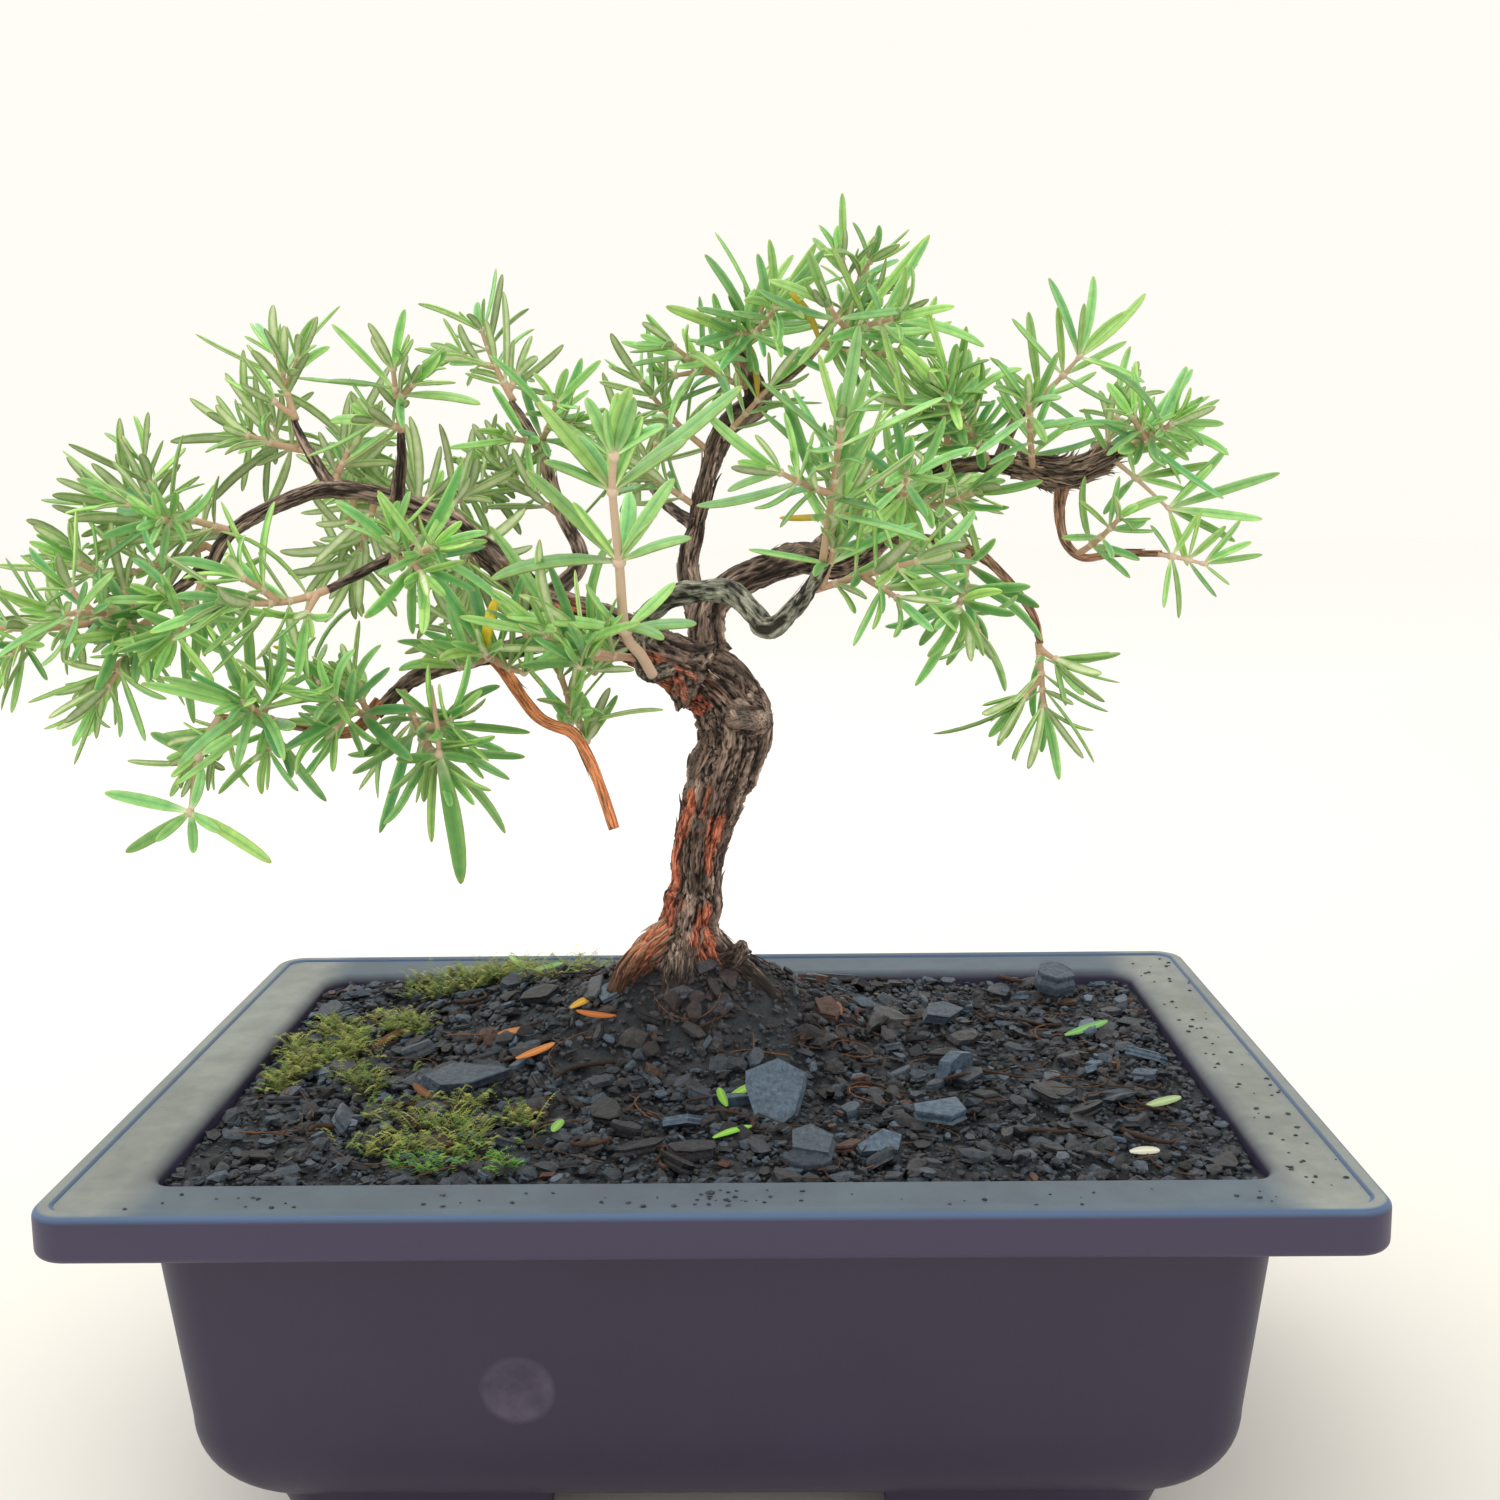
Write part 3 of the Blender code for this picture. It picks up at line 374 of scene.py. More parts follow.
class Finish:
    """One material round a Principled shader, with short ways to add its nodes."""

    def __init__(self, name):
        self.made = bpy.data.materials.new(name)
        self.made.use_nodes = True
        self.tree = self.made.node_tree

    def fill(self, node, inputs):
        """Sets or links inputs. Text is a hex colour, and a node is linked by its first open output."""
        for key, value in inputs.items():
            if isinstance(key, int):
                socket = node.inputs[key]
            else:
                socket = next(found for found in node.inputs if found.name == key and found.enabled)
            if isinstance(value, str):
                value = srgb(value)
            if isinstance(value, bpy.types.Node):
                value = next(found for found in value.outputs if found.enabled)
            if isinstance(value, bpy.types.NodeSocket):
                self.tree.links.new(value, socket)
            else:
                socket.default_value = value

    def add(self, kind, inputs=None, **settings):
        made = self.tree.nodes.new("ShaderNode" + kind)
        for key, value in settings.items():
            setattr(made, key, value)
        self.fill(made, inputs or {})
        return made

    def where(self):
        """The piece's own coordinates, in metres."""
        return self.add("TexCoord").outputs["Object"]

    def parts(self, vector):
        return self.add("SeparateXYZ", {"Vector": vector}).outputs

    def held(self, name):
        """The vector that the mesh holds under a name at each point."""
        return self.add("Attribute", attribute_name=name).outputs["Vector"]

    def noise(self, scale, detail, rough=0.5, where=None):
        if where is None:
            where = self.where()
        return self.add("TexNoise", {"Vector": where, "Scale": scale, "Detail": detail, "Roughness": rough})

    def mix(self, factor, low, high):
        """A colour between two."""
        return self.add("Mix", {"Factor": factor, "A": low, "B": high}, data_type="RGBA")

    def span(self, value, low=0.0, high=1.0, to_low=0.0, to_high=1.0):
        """A value moved from one range to another, and held inside it."""
        ranges = {"From Min": low, "From Max": high, "To Min": to_low, "To Max": to_high}
        return self.add("MapRange", {"Value": value, **ranges})

    def math(self, operation, *values):
        return self.add("Math", dict(enumerate(values)), operation=operation)

    def scaled(self, colour, by):
        return self.add("VectorMath", {0: colour, "Scale": by}, operation="SCALE")

    def bump(self, height, strength, depth):
        return self.add("Bump", {"Height": height, "Strength": strength, "Distance": depth})

    def done(self, colour, rough, **others):
        """Sets the shader and gives back the material."""
        shader = self.tree.nodes["Principled BSDF"]
        self.fill(shader, {"Base Color": colour, "Roughness": rough, **others})
        return self.made


def moulded_polypropylene():
    """Injection-moulded polypropylene: matt and slightly grained, with a painted sky highlight along the
    rim's outer edges, dusty on top.
    """
    new = Finish("moulded polypropylene")
    across, depth, height = new.parts(new.where())
    _, _, up = new.parts(new.add("NewGeometry").outputs["Normal"])
    clouds = new.noise(1 / (35 * MM), 7.0, 0.62)
    wiped = new.noise(1 / (6 * MM), 5.0, 0.6)
    colour = new.mix(clouds, "#261F37", "#332A47")
    # The rim has faded to a greyer purple than the body.
    lip_foot = POT_HEIGHT - LIP_HEIGHT
    on_rim = new.span(height, lip_foot - MM, lip_foot + MM)
    colour = new.mix(on_rim, colour, "#39334F")
    # Its outer edges face half up and are painted a cooler blue-grey there, a painted highlight of the sky.
    from_middle = new.math("ABSOLUTE", across)
    inner_x = new.math("LESS_THAN", from_middle, POT_LENGTH / 2 - SKY_SHEEN_BAND)
    inner_y = new.math("LESS_THAN", new.math("ABSOLUTE", depth), POT_WIDTH / 2 - SKY_SHEEN_BAND)
    inner = new.math("MULTIPLY", inner_x, inner_y)
    sky_sheen = new.math("MULTIPLY", new.span(up, 0.15, 0.65), on_rim)
    sky_sheen = new.math("MULTIPLY", sky_sheen, new.math("SUBTRACT", 1.0, inner))
    colour = new.mix(sky_sheen, colour, "#4A6488")
    # Flat tops hold a film of pale dust, and so does the rounded edge of the opening.
    edge = new.span(inner, to_low=0.86, to_high=0.1)
    dust = new.math("MULTIPLY", new.span(up, edge, 0.985), new.span(wiped, 0.25, 0.62, 0.72, 1.0))
    # The dust is thickest along the ends of the rim, and soil has been spilt on it there.
    at_end = new.span(from_middle, POT_LENGTH / 2 - 24 * MM, POT_LENGTH / 2 - 14 * MM)
    dust_colour = new.scaled(new.mix(at_end, "#5C6A75", "#8E928C"), new.span(clouds, 0.3, 0.7, 0.8, 1.2))
    colour = new.mix(dust, colour, dust_colour)
    # A round patch of dried lime, where something once stuck to the front.
    spot = new.add("CombineXYZ", {"X": across, "Z": height})
    away = new.add("VectorMath", {0: spot, 1: LIME_PLACE}, operation="DISTANCE").outputs["Value"]
    rough_edge = new.math("MULTIPLY_ADD", wiped, 2.2 * MM, away)
    disc = new.span(rough_edge, LIME_RADIUS - 0.6 * MM, LIME_RADIUS + 0.6 * MM, 1.0, 0.0)
    lime = new.math("MULTIPLY", disc, new.math("LESS_THAN", depth, -POT_WIDTH / 4))
    lime = new.math("MULTIPLY", lime, new.span(wiped, 0.35, 0.7, 0.1, 0.5))
    colour = new.mix(lime, colour, "#6A6274")
    rough = new.span(dust, to_low=0.46, to_high=0.72)
    # The mould's spark-eroded grain is about 0.35 mm.
    bump = new.bump(new.noise(1 / (0.35 * MM), 2.0), 0.22, 0.2 * MM)
    return new.done(colour, rough, Normal=bump, IOR=1.49)


def woven_plastic_mesh():
    """Extruded polyethylene netting: black, a little waxy, with soil dust on it."""
    new = Finish("extruded polyethylene mesh")
    dust = new.noise(1 / (3 * MM), 4.0)
    colour = new.mix(dust, "#151517", "#34322F")
    return new.done(colour, 0.5, Normal=new.bump(dust, 0.2, 0.3 * MM), IOR=1.5)


def composted_bark(name, dark, light, slate_and_sky_blue, rough):
    """Damp composted bark: near black, and blue-grey on some pieces, partly their own colour and partly a
    painted reflection of the sky; fibrous when broken.
    """
    new = Finish(name)
    chance, grey, red = new.parts(new.held("crumb"))
    fine = new.noise(1 / (1.1 * MM), 6.0, 0.7)
    # The crumb's second value mixes in the blue-grey: partly the bark's own colour, partly a painted
    # reflection of the sky.
    colour = new.mix(grey, new.mix(chance, dark, light), slate_and_sky_blue)
    colour = new.scaled(new.mix(red, colour, "#4A2F24"), new.span(fine, 0.3, 0.7, 0.45, 1.7))
    return new.done(colour, rough, Normal=new.bump(fine, 0.8, 0.5 * MM), IOR=1.45)


def fibrous_bark():
    """Stringy bark of old rosemary: grey-brown strips, rust red where the outer ones have peeled."""
    new = Finish("fibrous bark")
    fibre = new.held("fibre")
    ridge, peeled, tone = new.parts(new.held("bark"))
    cut, fresh, _ = new.parts(new.held("cut"))
    _, _, height = new.parts(new.where())
    # Fibres are about 0.8 mm across; the coordinate is already drawn out along each limb.
    strands = new.noise(1.9, 8.0, 0.7, fibre)
    patches = new.noise(0.35, 4.0, 0.5, fibre)
    colour = new.mix(new.span(patches, 0.35, 0.65), "#4A3933", "#BDA394")
    colour = new.mix(peeled, colour, new.mix(strands, "#93372A", "#F59A76"))
    colour = new.mix(new.span(tone, to_high=0.85), colour, "#A3A898")
    young = new.span(tone, 0.0, -1.0)
    colour = new.mix(young, colour, "#DA8B5E")
    # Furrows between the strips are painted dark, a painted shade; young bark is smooth, so this fades.
    old = new.math("SUBTRACT", 1.0, young)
    furrow_shade = new.math("MULTIPLY", new.span(ridge, -0.5, 0.3, 0.95, 0.0), old)
    colour = new.mix(furrow_shade, colour, "#1B1311")
    # The grain is painted lighter on the raised fibres and darker between them, with the same noise as the
    # bump: partly the grain's own tone, partly a painted highlight and shade.
    shade = new.span(strands, 0.37, 0.63, 0.2, 2.15)
    sawn = new.scaled(new.mix(fresh, "#80746C", "#C69560"), shade)
    colour = new.mix(cut, new.scaled(colour, shade), sawn)
    # Wet soil has splashed up the foot.
    splash = new.math("MULTIPLY_ADD", strands, 26 * MM, height)
    dirt = new.span(splash, tree_foot.z + 13 * MM, tree_foot.z + 22 * MM, 0.85, 0.0)
    colour = new.mix(dirt, colour, "#1C1817")
    return new.done(colour, 0.78, Normal=new.bump(strands, 0.9, 0.7 * MM), IOR=1.45)


def dead_root():
    """Dead roots and twigs in the soil: dry and fibrous, from near black to tan."""
    new = Finish("dead root")
    pale, _, _ = new.parts(new.held("crumb"))
    grain = new.noise(1 / (0.9 * MM), 4.0)
    colour = new.scaled(new.mix(pale, "#2E211C", "#80573A"), new.span(grain, 0.3, 0.7, 0.6, 1.3))
    return new.done(colour, 0.8, Normal=new.bump(grain, 0.5, 0.3 * MM), IOR=1.45)


def living_leaf():
    """Rosemary leaf: leathery green and faintly waxed above, pale felt below between rolled margins."""
    new = Finish("living leaf")
    across, along, side = new.parts(new.held("leaf"))
    chance, yellow, youth = new.parts(new.held("growth"))
    off_middle = new.math("ABSOLUTE", across)
    # Above: new leaves are yellower and some are bluer; the groove down the middle is painted darker, a
    # painted shade, and the margins are painted lighter, a painted highlight where light catches them.
    upper = new.mix(youth, "#62A550", "#BCE67C")
    upper = new.mix(new.span(chance, to_high=0.5), upper, "#74C290")
    upper = new.mix(new.span(off_middle, 0.02, 0.3, 0.4, 0.0), upper, "#4E8F45")
    upper = new.mix(new.span(off_middle, 0.5, 0.95, to_high=0.36), upper, "#CDE88E")
    under = new.mix(new.span(off_middle, 0.3, 0.75), "#D6E0B6", "#97B96C")
    above = new.span(side, -0.35, 0.15)
    colour = new.mix(above, under, upper)
    # Pale at its foot, dry at its tip, and now and then a leaf has gone yellow.
    colour = new.mix(new.span(along, 0.02, 0.22, 0.75, 0.0), colour, "#E2EBC0")
    colour = new.mix(new.span(along, 0.93, 1.0, 0.0, 0.6), colour, "#B9B45A")
    colour = new.mix(yellow, colour, "#E2C23E")
    mottle = new.noise(1 / (2.5 * MM), 3.0)
    colour = new.scaled(colour, new.span(mottle, 0.3, 0.7, 0.88, 1.15))
    # Each leaf's brightness is scaled at random, whatever its hue: painted light and shade, standing in for
    # leaves in light and leaves in shade.
    leaf_light_and_shade = new.math("FRACT", new.math("MULTIPLY", chance, 7.0))
    colour = new.scaled(colour, new.span(leaf_light_and_shade, to_low=0.72, to_high=1.3))
    return new.done(colour, new.span(above, to_low=0.8, to_high=0.34), IOR=1.42)


def green_stem():
    """Young rosemary stem: downy and tan-pink, paler at its nodes."""
    new = Finish("downy young stem")
    pale, _, _ = new.parts(new.held("growth"))
    down = new.noise(1 / (0.8 * MM), 4.0)
    colour = new.mix(down, new.mix(pale, "#C79A80", "#F0DECB"), "#D9B898")
    return new.done(colour, 0.8, Normal=new.bump(down, 0.4, 0.2 * MM), IOR=1.4)


def fallen_leaf():
    """Dropped leaves: fresh green, yellow, rust and brown, dry and dull."""
    new = Finish("fallen leaf")
    across, _, _ = new.parts(new.held("leaf"))
    shade = new.span(new.math("ABSOLUTE", across), 0.0, 0.5, 1.25, 0.9)
    return new.done(new.scaled(new.held("growth"), shade), 0.65, IOR=1.42)


def sheet_moss():
    """Feathery sheet moss: yellow-green fronds, painted darker low down towards the heart of the cushion, a
    painted shade.
    """
    new = Finish("sheet moss")
    chance, height, green = new.parts(new.held("frond"))
    colour = new.mix(green, new.mix(chance, "#646F38", "#C2C46A"), "#6CAA45")
    # Painted shade: each frond is darker low down, where the fronds above shade it.
    colour = new.mix(new.span(height, 0.0, 0.8, 0.8, 0.0), colour, "#24281A")
    return new.done(colour, 0.8, IOR=1.4)


def painted_plaster():
    """A studio floor in matt cream paint, painted lighter towards the back: a painted light that brings the
    far floor up to the sky's brightness.
    """
    new = Finish("matt cream paint")
    _, back, _ = new.parts(new.where())
    return new.done(new.mix(new.span(back, 0.1, 1.6), "#F4F0EA", "#FFFEFD"), 0.95)


# The pot: the same rings as its CAD node, with finer arcs.


def ring(half_length, half_width, corner, z, steps=14):
    """The points of one rounded rectangle."""
    points = []
    for turn in range(4):
        across = half_length - corner if turn in (0, 3) else corner - half_length
        along = half_width - corner if turn in (0, 1) else corner - half_width
        for step in range(steps + 1):
            angle = math.pi / 2 * (turn + step / steps)
            points.append((across + corner * math.cos(angle), along + corner * math.sin(angle), z))
    return points


def pot_ring(inset, z, corner):
    return ring(POT_LENGTH / 2 - inset, POT_WIDTH / 2 - inset, corner, z)


def arc(inset, z, radius, start, end, steps):
    """(inset, z) along an arc, angles in degrees, where 180 points out from the pot."""
    points = []
    for step in range(steps + 1):
        angle = math.radians(start + (end - start) * step / steps)
        points.append((inset + radius * math.cos(angle), z + radius * math.sin(angle)))
    return points


def object_from(bm, name):
    """Ends a mesh in the making, and makes an object of it."""
    bmesh.ops.recalc_face_normals(bm, faces=bm.faces)
    data = bpy.data.meshes.new(name)
    bm.to_mesh(data)
    bm.free()
    made = bpy.data.objects.new(name, data)
    bpy.context.scene.collection.objects.link(made)
    return made


def loft(name, rings):
    """One closed body through the rings, capped at the first and the last."""
    bm = bmesh.new()
    loops = [[bm.verts.new(point) for point in points] for points in rings]
    for low, high in zip(loops, loops[1:]):
        for i in range(len(low)):
            bm.faces.new((low[i - 1], low[i], high[i], high[i - 1]))
    bm.faces.new(loops[0])
    bm.faces.new(loops[-1])
    return object_from(bm, name)


def boolean(target, cutter, operation="DIFFERENCE"):
    """Cuts or joins at once, and removes the cutter."""
    modifier = target.modifiers.new(cutter.name, "BOOLEAN")
    modifier.operation = operation
    modifier.solver = "EXACT"
    modifier.object = cutter
    graph = bpy.context.evaluated_depsgraph_get()
    data = bpy.data.meshes.new_from_object(target.evaluated_get(graph))
    target.modifiers.clear()
    target.data = data
    bpy.data.objects.remove(cutter)


def mesh_of(obj):
    """Takes the mesh out of a helper object."""
    data = obj.data
    bpy.data.objects.remove(obj)
    return data


def inner_wall(gap=0.0, steps=14):
    """(inset, z, corner) up the pot's inside from its floor, moved in by the gap."""
    radius = BOTTOM_ROUND - WALL
    middle = body_inset + BOTTOM_ROUND, floor_top + radius
    corner = BODY_CORNER - WALL - gap
    curve = arc(*middle, radius - gap, 270, 180, steps)
    top = RIM_OVERHANG + WALL + gap, POT_HEIGHT - BEAD_HEIGHT - OPENING_FILLET
    return [(inset, z, corner) for inset, z in curve + [top]]


def pot_profile():
    """(inset, z, corner) out along the bottom, up, round the rim and its lip, and down inside."""
    bottom = arc(body_inset + BOTTOM_ROUND, FOOT_HEIGHT + BOTTOM_ROUND, BOTTOM_ROUND, 270, 180, 20)
    profile = [(inset, z, BODY_CORNER) for inset, z in bottom]
    under_plate = POT_HEIGHT - BEAD_HEIGHT - RIM_PLATE
    lip_foot = POT_HEIGHT - LIP_HEIGHT
    inner_corner = RIM_CORNER - LIP_WALL
    profile.append((RIM_OVERHANG, under_plate, BODY_CORNER))
    profile.append((LIP_WALL, under_plate, inner_corner))
    profile.append((LIP_WALL, lip_foot, inner_corner))
    edges = arc(LIP_ROUND, lip_foot + LIP_ROUND, LIP_ROUND, 270, 180, 8)
    edges += arc(LIP_ROUND, POT_HEIGHT - LIP_ROUND, LIP_ROUND, 180, 90, 8)
    edges += arc(BEAD_WIDTH, POT_HEIGHT - BEAD_ROUND, BEAD_ROUND, 90, 40, 4)
    profile += [(inset, z, RIM_CORNER - inset) for inset, z in edges]
    plateau = POT_HEIGHT - BEAD_HEIGHT
    profile.append((BEAD_WIDTH + BEAD_ROUND, plateau, RIM_CORNER - BEAD_WIDTH))
    opening = RIM_OVERHANG + WALL
    fillet = arc(opening - OPENING_FILLET, plateau - OPENING_FILLET, OPENING_FILLET, 90, 0, 8)
    profile += [(inset, z, BODY_CORNER - WALL) for inset, z in fillet[:-1]]
    return profile + inner_wall()[::-1]


def foot_ring(inset, z):
    return pot_ring(FOOT_INSET + inset, z, BODY_CORNER)


def arch(half_length, half_width, spread_x, spread_y):
    """A gap right through under the pot, wider at the ground."""
    rings = []
    for z, share in ((-FOOT_HEIGHT, 2), (FOOT_HEIGHT, 0), (2 * FOOT_HEIGHT, 0)):
        rings.append(ring(half_length + spread_x * share, half_width + spread_y * share, MM, z, steps=1))
    return loft("arch", rings)


def make_pot():
    top = FOOT_HEIGHT + FOOT_MERGE
    feet = loft("feet", [foot_ring(FOOT_TAPER, 0), foot_ring(0, top)])
    boolean(feet, loft("foot_hollow", [foot_ring(FOOT_TAPER + FOOT_WIDTH, z) for z in (-MM, 2 * top)]))
    boolean(feet, loft("inside", [pot_ring(*point) for point in inner_wall(-WALL / 2)]))
    boolean(feet, arch(FRONT_ARCH / 2, POT_WIDTH, ARCH_SPREAD, 0))
    boolean(feet, arch(POT_LENGTH, SIDE_ARCH / 2, 0, ARCH_SPREAD))
    pot = loft("pot_wall", [pot_ring(*point) for point in pot_profile()])
    boolean(pot, feet, "UNION")
    for x in (-HOLE_SPACING / 2, HOLE_SPACING / 2):
        hole = loft("hole", [ring(HOLE_RADIUS, HOLE_RADIUS, HOLE_RADIUS * 0.999, z)
                             for z in (FOOT_HEIGHT - FLOOR, FOOT_HEIGHT + 2 * FLOOR)])
        hole.location.x = x
        bpy.context.view_layer.update()
        boolean(pot, hole)
    data = mesh_of(pot)
    data.shade_smooth()
    data.set_sharp_from_angle(angle=math.radians(32))
    place("training_pot", data, "pot", [moulded_polypropylene()], "pot")
    mesh_finish = woven_plastic_mesh()
    for name in ("drain_mesh_left", "drain_mesh_right"):
        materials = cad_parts[name].data.materials
        materials.clear()
        materials.append(mesh_finish)


# Soil and what lies on it.


def bump(x, y, middle, length, width):
    return math.exp(-(((x - middle[0]) / length) ** 2) - ((y - middle[1]) / width) ** 2)


def soil_height(x, y):
    """The soil's surface without its crumbs: level, with a mound at the trunk and a low bank."""
    height = soil_level + MOUND_RISE * bump(x, y, TREE_PLACE, MOUND_LENGTH, MOUND_WIDTH)
    height += BANK_RISE * bump(x, y, BANK_PLACE, BANK_SPREAD, BANK_SPREAD)
    height += COLLAR_RISE * bump(x, y, TREE_PLACE, COLLAR_SPREAD, COLLAR_SPREAD)
    return height + 1.1 * MM * noise.noise(Vector((x, y, 0)) / (27 * MM))


def lumpy_height(x, y):
    """The same with lumps of two sizes pressed into it."""
    lumps = noise.voronoi(Vector((x, y, 0)) / (7 * MM))[0]
    crumbs = noise.voronoi(Vector((x, y, 1)) / (3 * MM))[0]
    drop = 1.6 * MM * min(1, lumps[0]) + 1.0 * MM * min(1, crumbs[0])
    return soil_height(x, y) + 0.6 * MM - drop


def soil_slope(x, y):
    """The turn from level to the soil's slope at a place."""
    span = 4 * MM
    slope_x = (soil_height(x + span, y) - soil_height(x - span, y)) / (2 * span)
    slope_y = (soil_height(x, y + span) - soil_height(x, y - span)) / (2 * span)
    return Vector((0, 0, 1)).rotation_difference(Vector((-slope_x, -slope_y, 1))).to_matrix()


def half_opening(gap):
    """Half the length and width of the soil, less a gap."""
    inset = RIM_OVERHANG + WALL + gap
    return POT_LENGTH / 2 - inset, POT_WIDTH / 2 - inset


def make_soil_bed(finish):
    """The bed under the crumbs: it fills the pot and follows the lumpy surface."""
    rings = [pot_ring(*point) for point in inner_wall(0.2 * MM)]
    inset, _, corner = inner_wall(0.2 * MM)[-1]
    rings.append(pot_ring(inset, POT_HEIGHT + MOUND_RISE + 10 * MM, corner))
    bed = loft("bed", rings)
    bm = bmesh.new()
    columns = math.ceil(POT_LENGTH / SOIL_STEP)
    rows = math.ceil(POT_WIDTH / SOIL_STEP)
    bmesh.ops.create_grid(bm, x_segments=columns, y_segments=rows, size=0.5)
    for vert in bm.verts:
        x, y = vert.co.x * POT_LENGTH, vert.co.y * POT_WIDTH
        vert.co = (x, y, lumpy_height(x, y))
    made = bmesh.ops.extrude_face_region(bm, geom=bm.faces[:], use_keep_orig=True)
    for vert in made["geom"]:
        if isinstance(vert, bmesh.types.BMVert):
            vert.co.z = 0
    boolean(bed, object_from(bm, "surface"), "INTERSECT")
    data = mesh_of(bed)
    crumb = data.attributes.new("crumb", "FLOAT_VECTOR", "POINT")
    crumb.data.foreach_set("vector", [0.2, 0.1, 0.0] * len(data.vertices))
    data.shade_smooth()
    place("soil_bed", data, "soil", [finish], "soil")


def unit_crumb():
    """The corners and faces of a small round body."""
    bm = bmesh.new()
    bmesh.ops.create_icosphere(bm, subdivisions=1, radius=1)
    points = np.array([vert.co[:] for vert in bm.verts])
    faces = np.array([[vert.index for vert in face.verts] for face in bm.faces])
    bm.free()
    return points, faces


def rough(rng, points, low, high):
    """Points moved in or out, each by its own share."""
    return points * np.array([[rng.uniform(low, high)] for _ in points])


def turned(points, x, y, turn, tilt):
    """Points turned about the upright, tipped, and laid to the soil's slope."""
    matrix = soil_slope(x, y) @ Matrix.Rotation(turn, 3, "Z") @ Matrix.Rotation(tilt, 3, "X")
    return np.asarray(points) @ np.array(matrix).T


def from_trunk(x, y):
    return math.hypot(x - TREE_PLACE[0], y - TREE_PLACE[1])


def scatter_places(rng, count, gap):
    """Places over the soil, keeping clear of the middle of the trunk where it stands on the mound."""
    half_length, half_width = half_opening(gap)
    places = []
    while len(places) < count:
        x = rng.uniform(-half_length, half_length)
        y = rng.uniform(-half_width, half_width)
        if from_trunk(x, y) > TRUNK_CLEAR:
            places.append((x, y))
    return places


# Name, count, least and greatest size in mm, and depth as a share of the size.
CRUMBS = (
    ("soil_crumbs_fine", 7600, 0.4, 1.0, 0.75),
    ("soil_crumbs_mid", 2400, 0.9, 2.1, 0.6),
    ("soil_crumbs_large", 620, 1.8, 3.6, 0.5),
)
# Name, count, and least and greatest length in mm.
FLAKES = (("bark_flakes_small", 620, 2.0, 5.0), ("bark_flakes_large", 150, 5, 12))
# Name, count, least and greatest length in mm, and least and greatest radius in mm.
FIBRES = (("fine_roots", 130, 6, 24, 0.12, 0.26), ("dead_twigs", 40, 7, 20, 0.35, 0.8))


def make_crumbs(finish):
    """Small crumbs of bark all over."""
    points, faces = unit_crumb()
    for name, count, low, high, flat in CRUMBS:
        rng = draws(name)
        shape = Shape()
        for x, y in scatter_places(rng, count, high * MM):
            size = np.array((rng.uniform(0.7, 1.5), rng.uniform(0.6, 1.1), rng.uniform(0.6, 1.0) * flat))
            size *= rng.uniform(low, high) * MM
            body = rough(rng, points, 0.72, 1.25) * size
            body = turned(body, x, y, rng.uniform(0, math.tau), rng.uniform(-0.7, 0.7))
            z = soil_height(x, y) + rng.uniform(-0.3, 0.55) * high * MM
            # Some crumbs take the blue-grey: partly their own colour, partly a painted reflection of the
            # sky.
            grey = max(0.0, rng.gauss(0.12, 0.3))
            if size.max() > 1.4 * MM and noise.noise(Vector((x, y, 0)) / (22 * MM)) > 0.12:
                continue
            near = math.exp(-(from_trunk(x, y) / (32 * MM)) ** 2)
            shape.add(body + (x, y, z), [faces],
                      crumb=(min(1.0, rng.random() + 0.5 * near), min(grey, 1.0), 0.35 * near))
        place(name, shape.mesh(name, smooth=False), "soil", [finish])


def make_specks(finish):
    """Soil spilt on the rim, most of it at the right and the front."""
    points, faces = unit_crumb()
    rng = draws("specks")
    shape = Shape()
    for _ in range(SPECKS):
        x, y = rng.uniform(-1, 1) ** 3, rng.uniform(-1, 1)
        if rng.random() < 0.5:
            x = 0.93 + 0.05 * rng.uniform(-1, 1)
        else:
            y = -0.91 + 0.05 * rng.uniform(-1, 1)
        size = rng.uniform(0.15, 0.55) * MM
        spot = (x * POT_LENGTH / 2, y * POT_WIDTH / 2, POT_HEIGHT - BEAD_HEIGHT + 0.3 * size)
        body = rough(rng, points, 0.6, 1.3) * size * (1.3, 1, 0.6) + spot
        shape.add(body, [faces], crumb=(rng.random(), 0.2, 0))
    place("rim_specks", shape.mesh("rim_specks", smooth=False), "soil", [finish])


def chip(shape, rng, length, width, depth, x, y, z, turn, tilt, crumb):
    """A split slab of bark: an angular outline, laminated sides and a flat, slightly rough face."""
    sides = rng.randint(5, 8)
    outline = []
    for k in range(sides):
        angle = math.tau * (k + rng.uniform(-0.33, 0.33)) / sides
        reach = rng.uniform(0.8, 1.15)
        outline.append((math.cos(angle) * reach, math.sin(angle) * reach))
    outline = np.array(outline)
    rows = []
    layers = 5
    slant = rng.uniform(-0.2, 0.2), rng.uniform(-0.2, 0.2)
    for layer in range(layers):
        share = layer / (layers - 1)
        spread = 1 + rng.uniform(-0.07, 0.07)
        row = np.column_stack((outline * spread + np.array(slant) * share, np.full(sides, share - 0.5)))
        rows.append(row)
    for inner in (0.9, 0.5):
        heights = np.array([0.5 + rng.uniform(-0.04, 0.12) for _ in range(sides)])
        rows.append(np.column_stack((outline * inner + slant, heights)))
    rings = len(rows)
    points = np.vstack(rows + [np.array(((0, 0, -0.5), (*slant, 0.55)))])
    points *= (length / 2, width / 2, depth)
    body = turned(points, x, y, turn, tilt) + (x, y, z)
    shape.add(body, (sleeve(rings, sides), end_caps(rings, sides)), crumb=crumb)


